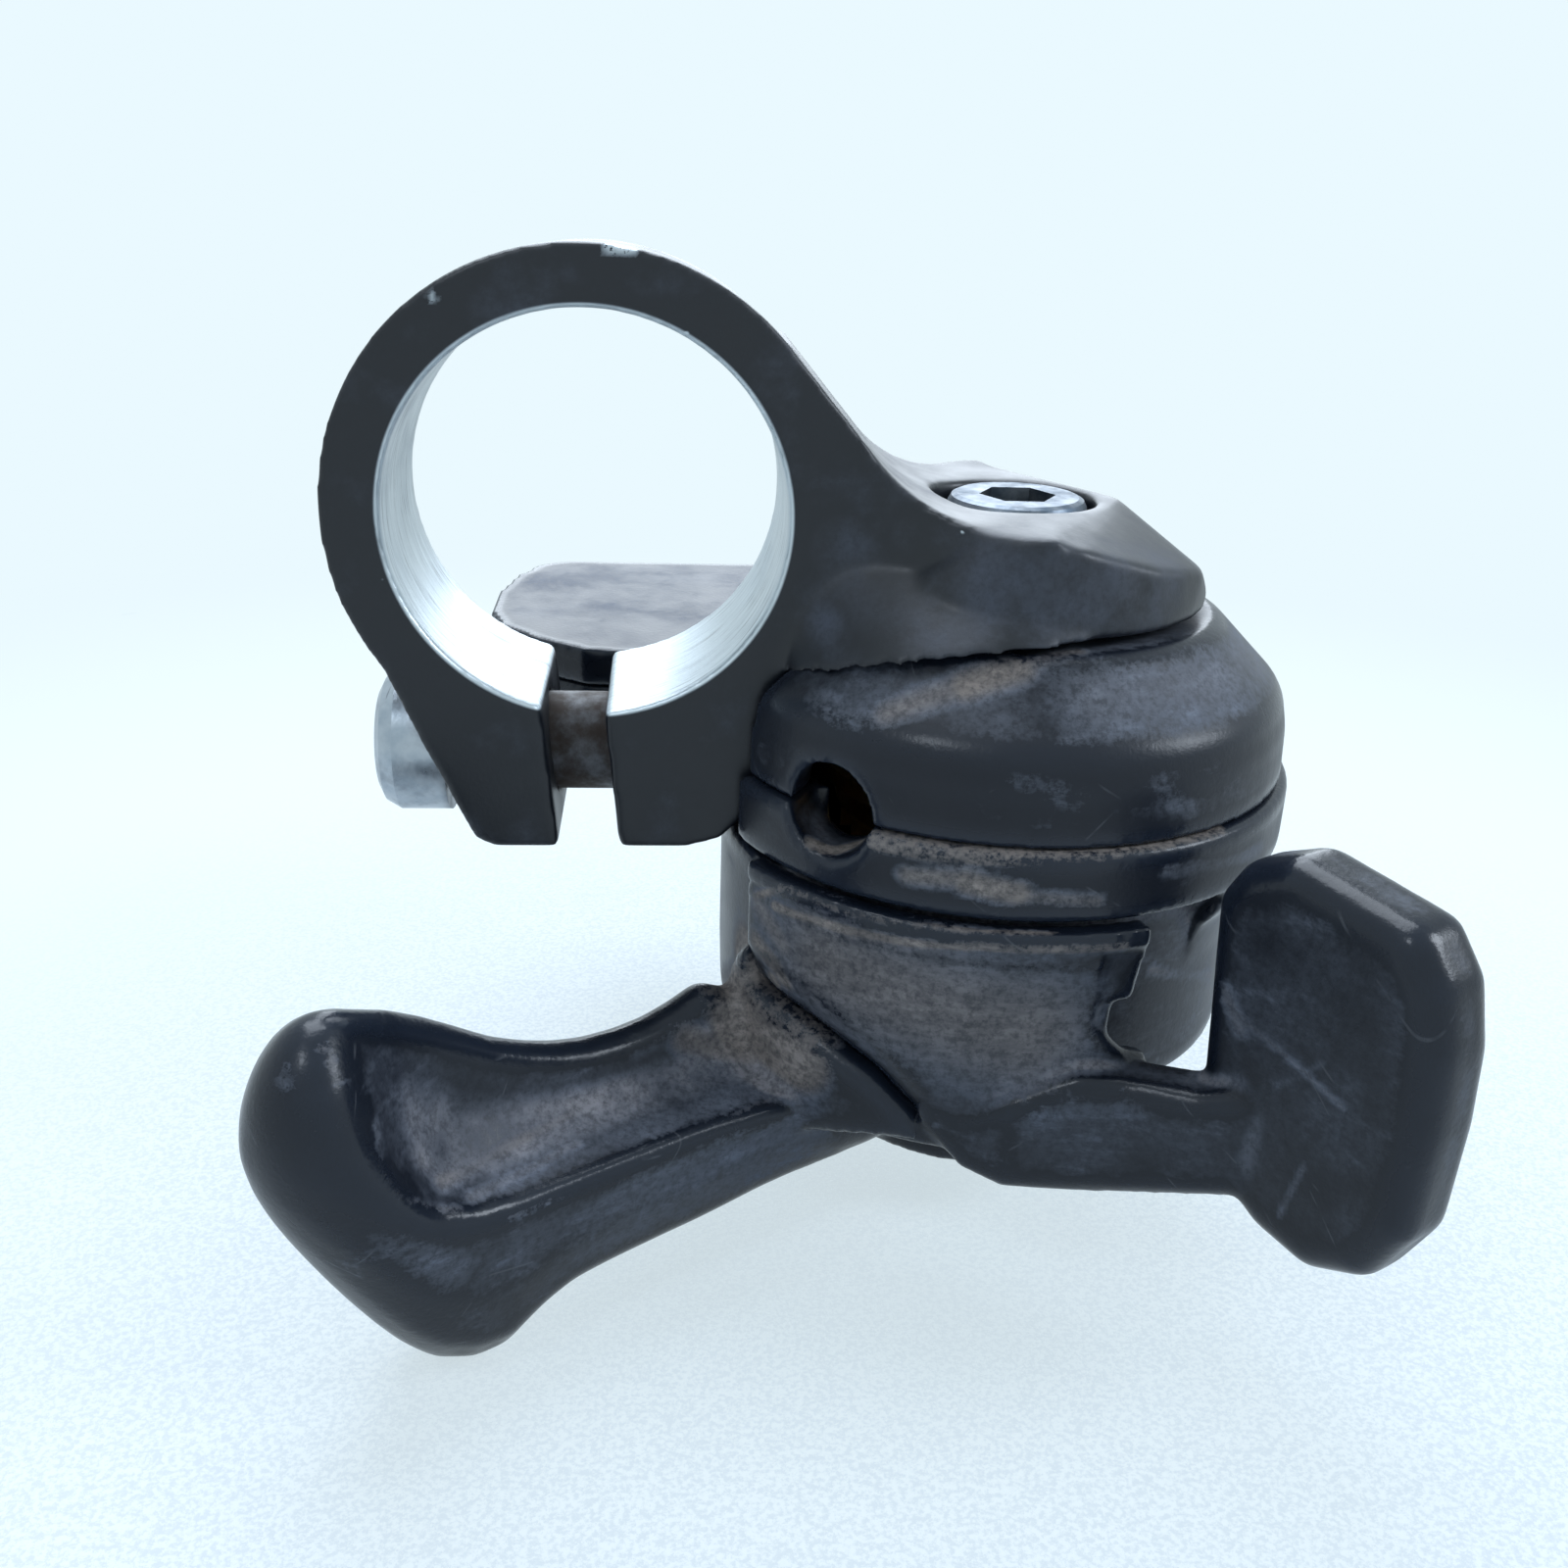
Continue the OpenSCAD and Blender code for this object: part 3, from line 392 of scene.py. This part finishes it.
# %% Fine scratches
def scratches(tree, place, turn, amount):
    turned = add_node(tree, "ShaderNodeMapping", [(0, place)], in_2=turn)
    wave = add_node(tree, "ShaderNodeTexWave", [("Vector", turned.outputs[0])], in_Scale=85.0,
                    in_Distortion=2.0, in_Detail=1.0, in_Detail_Scale=0.6).outputs["Fac"]
    where = spread(tree, noise(tree, turned.outputs[0], 380.0, 2.0), 0.58, 0.68, 0.0, amount)
    return math_node(tree, "MULTIPLY", spread(tree, wave, 0.9975, 0.9998), where)


# %% [markdown]
# Glass-filled nylon is what such housings and levers are moulded from. It leaves the mould
# with a faint grain of a tenth of a millimetre and a satin gloss. Fingers polish its edges,
# and road dust lies as a film on what looks up, thick in the hollows and in the smears that
# a wipe has left. The film on faces that look up is also a painted sheen, a pale bluish grey
# that lightens them, and some smears on the thumb lever are painted highlights. Brown-grey
# dust over black plastic is what the eye takes for age.

# %% Moulded plastic
def worn_plastic(name, base, haze_and_sheen, dirt, film_and_sheen_level, roughness):
    material, tree, shader, place = new_material(name)
    rub, sky = mark(tree, "rub"), mark(tree, "sky")
    cloud = noise(tree, place, 150.0, 6.0, 0.65)
    flat = add_node(tree, "ShaderNodeMapping", [(0, place)], in_3=(1.0, 1.0, 3.5)).outputs[0]
    wipe = noise(tree, flat, 420.0, 6.0, 0.7)
    specks = noise(tree, place, 2300.0, 3.0, 0.7)
    # Dust film and painted sheen: faces that look up are lightened towards a pale bluish grey.
    film_and_sheen = math_node(tree, "MULTIPLY", spread(tree, cloud, 0.25, 0.9, 0.0, film_and_sheen_level),
                     spread(tree, sky, 0.0, 1.0, 0.4, 1.0))
    streaky = math_node(tree, "MULTIPLY", spread(tree, wipe, 0.45, 0.8, 0.0, 0.5 * film_and_sheen_level),
                        spread(tree, cloud, 0.4, 0.65))
    caught = math_node(tree, "MULTIPLY", spread(tree, mark(tree, "hollow"), 0.15, 0.8),
                       spread(tree, cloud, 0.3, 0.6, 0.2, 0.6))
    # The smears on the thumb lever include painted highlights on its bulb and scoop rim, which take the
    # pale dust colour.
    smear_and_highlight = math_node(tree, "MULTIPLY", mark(tree, "dust_and_painted_light"), spread(tree, wipe, 0.25, 0.75, 0.4, 0.95))
    dust_and_sheen = math_node(tree, "ADD", math_node(tree, "ADD", film_and_sheen, streaky),
                      math_node(tree, "MAXIMUM", caught, smear_and_highlight))
    dust_and_sheen = math_node(tree, "MULTIPLY", dust_and_sheen, spread(tree, specks, 0.3, 0.62, 0.45, 1.0))
    dust_and_sheen = math_node(tree, "SUBTRACT", dust_and_sheen, math_node(tree, "MULTIPLY", rub, 0.5))
    scored = math_node(tree, "MAXIMUM", scratches(tree, place, (0.5, 0.7, 0.9), 0.35),
                       scratches(tree, place, (0.3, -0.6, 2.2), 0.35))
    colour = mix_colour(tree, math_node(tree, "MULTIPLY", rub, 0.6), base, "#29303B")
    brown = math_node(tree, "MAXIMUM", caught, spread(tree, mark(tree, "dust_and_painted_light"), 0.15, 0.8))
    colour = mix_colour(tree, dust_and_sheen, colour, mix_colour(tree, brown, haze_and_sheen, dirt))
    colour = mix_colour(tree, scored, colour, "#5A5C60")
    gloss = math_node(tree, "ADD", spread(tree, dust_and_sheen, 0.0, 0.5, roughness, 0.8),
                      spread(tree, cloud, 0.3, 0.7, 0.0, 0.1))
    gloss = math_node(tree, "SUBTRACT", gloss, spread(tree, rub, 0.05, 0.5, 0.0, 0.14))
    grain = noise(tree, place, 3500.0, 2.0)
    height = math_node(tree, "ADD", math_node(tree, "MULTIPLY", grain, 0.5),
                       math_node(tree, "MULTIPLY", dust_and_sheen, 0.4))
    height = math_node(tree, "SUBTRACT", height, math_node(tree, "MULTIPLY", scored, 0.3))
    bump = add_node(tree, "ShaderNodeBump", [("Height", height)], in_Strength=0.4,
                    in_Distance=0.00008).outputs[0]
    shader.inputs["Specular IOR Level"].default_value = 0.3
    tree.links.new(colour, shader.inputs["Base Color"])
    tree.links.new(gloss, shader.inputs["Roughness"])
    tree.links.new(bump, shader.inputs["Normal"])
    return material


# Both plastics lighten faces that look up with a pale bluish film, which is dust and a painted sheen.
housing_plastic = worn_plastic("glass_filled_nylon_dust_and_sheen", "#10141D", "#A2A9B6", "#ACA095", 0.32, 0.36)
lever_plastic = worn_plastic("glass_filled_nylon_rubbed", "#0E131C", "#969DAB", "#A0958C", 0.45, 0.32)
print("plastics:", housing_plastic.name, lever_plastic.name)

# %% [markdown]
# The clamp is forged aluminium with a black anodised coat, which is hard, thin and satin.
# The bar has scraped its bore back to bright metal, in fine lines that run round it, and a
# few knocks have chipped its rim. The bore is told by its distance from the bar's axis.

# %% Anodised aluminium with a scraped bore
BORE_EDGE, BORE_WALL = 0.01145, 0.01128
clamp_black, tree, shader, place = new_material("anodised_aluminium")
axes = add_node(tree, "ShaderNodeSeparateXYZ", [(0, place)])
flat = add_node(tree, "ShaderNodeCombineXYZ", [(0, axes.outputs[0]), (2, axes.outputs[2])])
reach = add_node(tree, "ShaderNodeVectorMath", [(0, flat.outputs[0])], operation="LENGTH")
bore = spread(tree, reach.outputs["Value"], BORE_EDGE, BORE_WALL)
angle = add_node(tree, "ShaderNodeMath", [(0, axes.outputs[0]), (1, axes.outputs[2])],
                 operation="ARCTAN2").outputs[0]
across = add_node(tree, "ShaderNodeMath", [(0, axes.outputs[1])], operation="MULTIPLY",
                  in_1=1400.0).outputs[0]
rings = add_node(tree, "ShaderNodeCombineXYZ", [(0, angle), (1, across)])
lines = noise(tree, rings.outputs[0], 2.2, 6.0, 0.7)
cloud = noise(tree, place, 170.0, 6.0, 0.6)
specks = noise(tree, place, 2600.0, 3.0, 0.7)
rub = mark(tree, "rub")
chips = math_node(tree, "MULTIPLY", spread(tree, rub, 0.25, 0.5),
                  spread(tree, noise(tree, place, 420.0, 3.0), 0.72, 0.75))
chips = math_node(tree, "MAXIMUM", chips, math_node(
    tree, "MULTIPLY", mark(tree, "bare"), spread(tree, specks, 0.4, 0.5)))
bare = math_node(tree, "ADD", math_node(tree, "MULTIPLY", bore,
                 spread(tree, lines, 0.3, 0.45, 0.35, 1.0)), chips)
# Painted light: on the clamp the dust marks paint a lighter grey on the neck's face, where it turns
# towards the light; the clouds are a real haze.
haze_and_painted_light = math_node(tree, "ADD", spread(tree, cloud, 0.5, 0.85, 0.0, 0.35),
                  math_node(tree, "MULTIPLY", mark(tree, "dust_and_painted_light"), spread(tree, cloud, 0.35, 0.6)))
haze_and_painted_light = math_node(tree, "MULTIPLY", haze_and_painted_light, spread(tree, specks, 0.3, 0.6, 0.6, 1.0))
dark = mix_colour(tree, haze_and_painted_light, "#0D121A", "#646A78")
bright = mix_colour(tree, lines, "#74808A", "#E4ECEF")
tree.links.new(mix_colour(tree, bare, dark, bright), shader.inputs["Base Color"])
tree.links.new(spread(tree, bare, 0.0, 1.0, 0.15, 0.9), shader.inputs["Metallic"])
satin = math_node(tree, "ADD", spread(tree, cloud, 0.3, 0.7, 0.34, 0.46),
                  math_node(tree, "MULTIPLY", haze_and_painted_light, 0.5))
tree.links.new(satin, shader.inputs["Roughness"])
grain = math_node(tree, "ADD", math_node(tree, "MULTIPLY", noise(tree, place, 4000.0), 0.4),
                  math_node(tree, "MULTIPLY", math_node(tree, "MULTIPLY", bore, lines), 0.6))
bump = add_node(tree, "ShaderNodeBump", [("Height", grain)], in_Strength=0.4, in_Distance=0.00006)
tree.links.new(bump.outputs[0], shader.inputs["Normal"])
print("clamp finish:", clamp_black.name)

# %% [markdown]
# The bolts, plates, springs and the spool are bare or plated metals. Each has clouds of old
# grease of a few millimetres, and turned or stamped surfaces carry fine marks. A metal keeps
# its own reflection, so only its grimy places turn dull and non-metallic.

# %% Metals
def metal(name, base, grime, grime_level, roughness, darker_where=None):
    material, tree, shader, place = new_material(name)
    cloud = noise(tree, place, 420.0, 6.0, 0.65)
    dirt = spread(tree, cloud, 0.55 - grime_level * 0.3, 0.75 - grime_level * 0.3, 0.0, grime_level)
    # Past a given level along one axis, the metal turns darker and dull.
    if darker_where:
        axis, plain_at, dark_at = darker_where
        axes = add_node(tree, "ShaderNodeSeparateXYZ", [(0, place)])
        there = spread(tree, axes.outputs[axis], plain_at, dark_at)
        dirt = math_node(tree, "MAXIMUM", dirt, math_node(
            tree, "MULTIPLY", there, spread(tree, cloud, 0.2, 0.6, 0.6, 1.0)))
    scored = scratches(tree, place, (0.4, 0.2, 0.6), 0.6)
    tone = mix_colour(tree, spread(tree, noise(tree, place, 900.0, 3.0), 0.3, 0.7, 0.0, 0.12), base,
                      "#FFFFFF")
    colour = mix_colour(tree, dirt, mix_colour(tree, scored, tone, "#50545A"), grime)
    tree.links.new(colour, shader.inputs["Base Color"])
    tree.links.new(spread(tree, dirt, 0.0, 1.0, 1.0, 0.1), shader.inputs["Metallic"])
    tree.links.new(math_node(tree, "ADD", spread(tree, cloud, 0.3, 0.8, roughness, roughness + 0.2),
                             math_node(tree, "MULTIPLY", dirt, 0.35)), shader.inputs["Roughness"])
    bump = add_node(tree, "ShaderNodeBump", [("Height", noise(tree, place, 2400.0, 3.0))],
                    in_Strength=0.25, in_Distance=0.00005)
    tree.links.new(bump.outputs[0], shader.inputs["Normal"])
    return material


pinch_finish = metal("zinc_plated_steel_rusty_shank", "#98A2AC", "#2E221B", 0.2, 0.26,
                     (0, -0.0092, -0.0080))
# The mount bolt turns near-black and dull below its top face: in its socket and down the sides of its
# head.
mount_finish = metal("zinc_plated_steel_dark_socket", "#4B5662", "#1E1B1A", 0.2, 0.4,
                     (2, 0.0001, -0.0006))
plate_steel = metal("stamped_steel", "#A9ADB2", "#4C4540", 0.3, 0.35)
spring_steel = metal("spring_steel", "#7D838C", "#2E2C2B", 0.3, 0.3)
spool_brass = metal("turned_brass", "#C9A45C", "#5C4A2A", 0.3, 0.3)

# %% [markdown]
# A CAD node whose shape is right keeps its mesh and only gets its finish: the bolts, the
# spool, the plates, the pawls and the springs.

# %% Finish the inner pieces and the bolts
finishes = {"pinch_bolt": pinch_finish, "mount_bolt": mount_finish, "cable_spool": spool_brass}
for name, piece in frame["nodes"].items():
    finish = finishes.get(name, spring_steel if name.endswith("spring") else plate_steel)
    if not piece.material_slots:
        piece.data.materials.append(finish)
    for piece_slot in piece.material_slots:
        piece_slot.material = finish

# %% [markdown]
# Where wipes and fingers left dust on this shifter is a matter of record. The path of a smear
# was read off the photograph, in its pixels, and a ray from the camera carries each point
# onto the piece. A point of three numbers is a place in millimetres instead, for the broad
# clouds. Each path has the smear's half width in millimetres and its strength. Not every
# smear is dust: those on the clamp paint light, a lighter grey on the neck's face where it
# turns towards the light, and three on the thumb lever paint highlights on its bulb and on
# the rim of its scoop.

# %% Smears of dust and of painted light, by piece
smears = {
    "clamp": {"bare": [
        ([(622, 252), (645, 254)], 0.45, 1),
        ([(440, 300), (442, 306)], 0.25, 0.7)],
    # On the clamp these smears are painted light: a lighter grey on the neck's face, where it turns
    # towards the light.
    "dust_and_painted_light": [
        ([(19, -10, -3), (24, -12, -3), (30, -9.5, -3)], 4, 0.32),
        ([(860, 560), (900, 620)], 2, 0.2),
        ([(840, 640)], 1.5, 0.3),
        ([(930, 548), (1010, 562)], 1.2, 0.2)]},
    "upper_housing": {"dust_and_painted_light": [
        ([(27, -13.5, -7.5), (33, -11, -7.5), (38, -6, -7.5)], 3.5, 0.35),
        ([(905, 728), (945, 713), (985, 700)], 1.3, 0.6),
        ([(985, 700), (1040, 681)], 1.5, 0.8),
        ([(1040, 682), (1100, 665)], 0.9, 0.6),
        ([(830, 722), (880, 737)], 1.5, 0.25),
        ([(1040, 795), (1100, 815)], 1, 0.18),
        ([(1180, 800), (1215, 830)], 0.8, 0.2),
        ([(900, 652)], 1.5, 0.3),
        ([(560, 590), (640, 585), (740, 590)], 3, 0.12),
        ([(540, 625), (620, 620), (700, 630)], 2, 0.1)]},
    "lower_housing": {"dust_and_painted_light": [
        ([(893, 854), (940, 862), (1000, 868), (1060, 870), (1120, 868), (1180, 860), (1240, 846)],
         1.0, 1.5),
        ([(893, 848), (940, 856), (1000, 863), (1060, 867), (1120, 865), (1240, 844)], 0.7, 1.4),
        ([(830, 862), (850, 868), (872, 862)], 0.9, 1.2),
        ([(925, 893), (985, 897)], 0.9, 0.7),
        ([(985, 900), (1040, 912)], 1.1, 0.85),
        ([(1040, 914), (1120, 920)], 0.7, 0.6),
        ([(1190, 885), (1285, 868)], 0.7, 0.35),
        ([(1175, 990), (1235, 995)], 0.5, 0.5),
        ([(850, 1060)], 0.45, 0.5),
        ([(1180, 1083)], 0.35, 0.4),
        ([(800, 1047)], 1.5, 0.6)]},
    "release_lever": {"dust_and_painted_light": [
        ([(13.5, -14.0, -23), (19, -17.2, -24), (24, -18.1, -25)], 6, 0.62),
        ([(775, 925), (800, 965)], 1.4, 0.6),
        ([(800, 965), (870, 1000)], 1.3, 0.5),
        ([(820, 925), (860, 942), (900, 960)], 1, 0.4),
        ([(880, 965), (960, 1000)], 1.6, 0.35),
        ([(960, 1005), (1060, 1045)], 1.6, 0.3),
        ([(1000, 962), (1080, 967)], 0.8, 0.45),
        ([(805, 1018)], 0.45, 0.5),
        ([(955, 1150)], 0.45, 0.3),
        ([(1062, 1103), (1120, 1092)], 0.35, 0.4),
        ([(1040, 1135), (1160, 1125)], 1.2, 0.2),
        ([(1250, 1012), (1265, 1050)], 0.8, 0.4),
        ([(1262, 1035), (1315, 1080), (1370, 1130)], 0.28, 0.4),
        ([(1300, 1110), (1350, 1085)], 0.2, 0.15),
        ([(790, 925), (850, 945), (920, 960), (1000, 966), (1080, 968), (1150, 965)], 0.5, 0.9),
        ([(770, 915), (800, 905), (850, 925), (920, 943), (1000, 951), (1080, 953)], 0.4, 0.9),
        ([(770, 960), (790, 985), (800, 1000)], 1.2, 0.8),
        ([(790, 1000)], 1, 0.9),
        ([(1305, 1240), (1330, 1190)], 0.25, 0.3)]},
    "thumb_lever": {"dust_and_painted_light": [
        ([(8.5, -7.5, -26.5), (9.5, -9.5, -29), (12, -12.8, -29.5)], 3.4, 1.2),
        ([(2, -17, -36), (8, -13, -35), (13, -11, -33)], 5, 0.3),
        ([(738, 1000), (765, 990)], 1.5, 0.55),
        ([(740, 1045)], 1.5, 0.6),
        ([(742, 1010), (742, 1050), (760, 1060)], 1.6, 1),
        ([(815, 1040), (830, 1060)], 1, 0.9),
        ([(700, 1060), (760, 1075), (840, 1065)], 1.6, 0.7),
        ([(845, 1080)], 1.2, 0.5),
        ([(400, 1222), (470, 1236)], 0.5, 0.5),
        ([(450, 1205), (540, 1160)], 0.9, 0.55),
        ([(540, 1160), (600, 1127)], 0.9, 0.5),
        ([(480, 1222), (590, 1165)], 0.6, 0.4),
        ([(385, 1150), (390, 1205)], 0.6, 0.3),
        ([(520, 1243), (580, 1217), (640, 1190), (720, 1152), (800, 1115)], 0.3, 0.45),
        # The next two smears are painted highlights on the top of the bulb.
        ([(290, 1100)], 1, 0.3),
        ([(330, 1070), (345, 1100)], 0.6, 0.5),
        ([(360, 1290), (410, 1262), (460, 1300)], 1.5, 0.2),
        # This smear is a painted highlight along the lit top rim of the scoop.
        ([(400, 1037), (470, 1060)], 0.4, 0.3),
        ([(650, 1068), (700, 1045)], 0.8, 0.3)]},
    "barrel_adjuster": {},
}
print("smears:", {piece: sum(len(rows) for rows in kinds.values()) for piece, kinds in smears.items()})

# %% [markdown]
# The forging's neck doesn't leave the ring with a step: a web flares out of it towards the
# pad, and its lower edge lies on the housing's cone. The web is a row of slim triangles that
# are bridged into a tube. The skin's cells then melt it into the neck, so no seam shows.

# %% Web of the neck
def bridged(shape, loops):
    rings = []
    for loop in loops:
        ring = [shape.verts.new([c / 1000 for c in point]) for point in loop]
        rings.append([shape.edges.new((ring[k - 1], ring[k])) for k in range(len(ring))])
    made = [shape.faces.new([e.verts[0] for e in rings[0]]),
            shape.faces.new([e.verts[0] for e in reversed(rings[-1])])]
    for first, second in zip(rings[:-1], rings[1:]):
        made += bmesh.ops.bridge_loops(shape, edges=first + second)["faces"]
    bmesh.ops.recalc_face_normals(shape, faces=made)


def neck_web(shape):
    low = np.array([(11.0, -6.4, -8.7), (12.7, -8.7, -7.8), (15.3, -11.0, -6.8), (17.8, -12.1, -6.0),
                    (21.0, -12.8, -5.4), (24.2, -12.7, -5.0), (27.4, -11.8, -4.9)])
    high = np.array([(11.8, -5.9, -4.4), (14.0, -6.2, -2.6), (16.5, -6.9, -2.0), (19.0, -8.2, -2.0),
                     (21.5, -9.6, -2.4), (24.2, -10.6, -3.0), (27.2, -10.9, -4.2)])
    inner = np.array([(11.6, -4.6, -6.4), (14.0, -4.8, -6.2), (16.5, -5.0, -5.8), (19.0, -6.0, -5.3),
                      (21.5, -7.0, -5.1), (24.2, -8.0, -4.8), (27.0, -9.0, -4.7)])
    steps = np.linspace(0, 6, 31)
    rows = [np.array([np.polyval(np.polyfit(range(7), row[:, k], 4), steps) for k in range(3)]).T
            for row in (low, high, inner)]
    for side in (1, -1):
        bridged(shape, [[(p[0], p[1] * side, p[2]) for p in trio] for trio in zip(*rows)])


# %% [markdown]
# Two walls follow the drum and are bridged the same way: the thumb lever's root, which rises
# beside the drum up to the skirt of the release lever, and the skirt's own lower tail, which
# leans from a notch down to the arm. Each row gives an angle round the axle, the wall's inner
# and outer radius, and its lower and upper level, in millimetres.

# %% Curved walls beside the drum
AXLE_X = 25
CHAMFER = 0.5


def curved_wall(shape, rows):
    loops = []
    for angle, inner, outer, low, top in rows:
        c, s = math.cos(math.radians(angle)), math.sin(math.radians(angle))
        edge = [(inner, low), (outer, low), (outer, top - CHAMFER), (outer - CHAMFER, top),
                (inner, top)]
        loops.append([(AXLE_X + r * c, r * s, z) for r, z in edge])
    bridged(shape, loops)


def between(rows, step):
    rows = np.array(rows)
    angles = np.unique(np.concatenate([np.arange(rows[0, 0], rows[-1, 0], step), rows[:, 0]]))
    return np.array([angles] + [np.interp(angles, rows[:, 0], rows[:, k]) for k in (1, 2, 3, 4)]).T


def lever_root(shape):
    curved_wall(shape, between([
        (195, 16.0, 16.9, -35.5, -32.2), (198, 16.0, 17.5, -35.6, -29.2),
        (201, 16.0, 17.9, -35.6, -27.2), (204.5, 16.0, 18.1, -35.6, -25.6),
        (208, 16.0, 18.2, -35.6, -24.7), (208.2, 16.0, 18.2, -35.6, -27.0),
        (220, 16.0, 18.2, -35.4, -27.5), (228, 16.0, 18.2, -34.6, -28.0),
        (240, 16.0, 18.1, -33.4, -29.5), (250, 16.0, 18.0, -33.0, -31.9)], 2))


def skirt_tail(shape):
    curved_wall(shape, between([(271, 17.0, 17.95, -23.5, -19.1), (287, 17.0, 17.95, -23.5, -19.1)], 2))
    curved_wall(shape, between([
        (274, 17.0, 18.1, -31.5, -23.5), (279, 17.0, 18.15, -31.0, -24.3),
        (283, 17.0, 18.2, -30.6, -25.7), (286.5, 17.0, 18.3, -30.4, -26.8),
        (291, 17.0, 18.4, -30.2, -27.2)], 1.5))


# %% [markdown]
# The six pieces that the hand and the eye meet get their skins. The cells are smallest on the
# adjuster, whose knurl is fine.

# %% Skins of the outer pieces
skin("clamp", 0.00026, 6, clamp_black, smears["clamp"], neck_web)
skin("upper_housing", 0.0003, 3, housing_plastic, smears["upper_housing"])
skin("lower_housing", 0.0003, 3, housing_plastic, smears["lower_housing"])
skin("thumb_lever", 0.0003, 8, lever_plastic, smears["thumb_lever"], lever_root)
skin("release_lever", 0.00025, 4, lever_plastic, smears["release_lever"],
     skirt_tail)
skin("barrel_adjuster", 0.0002, 2, lever_plastic, smears["barrel_adjuster"])
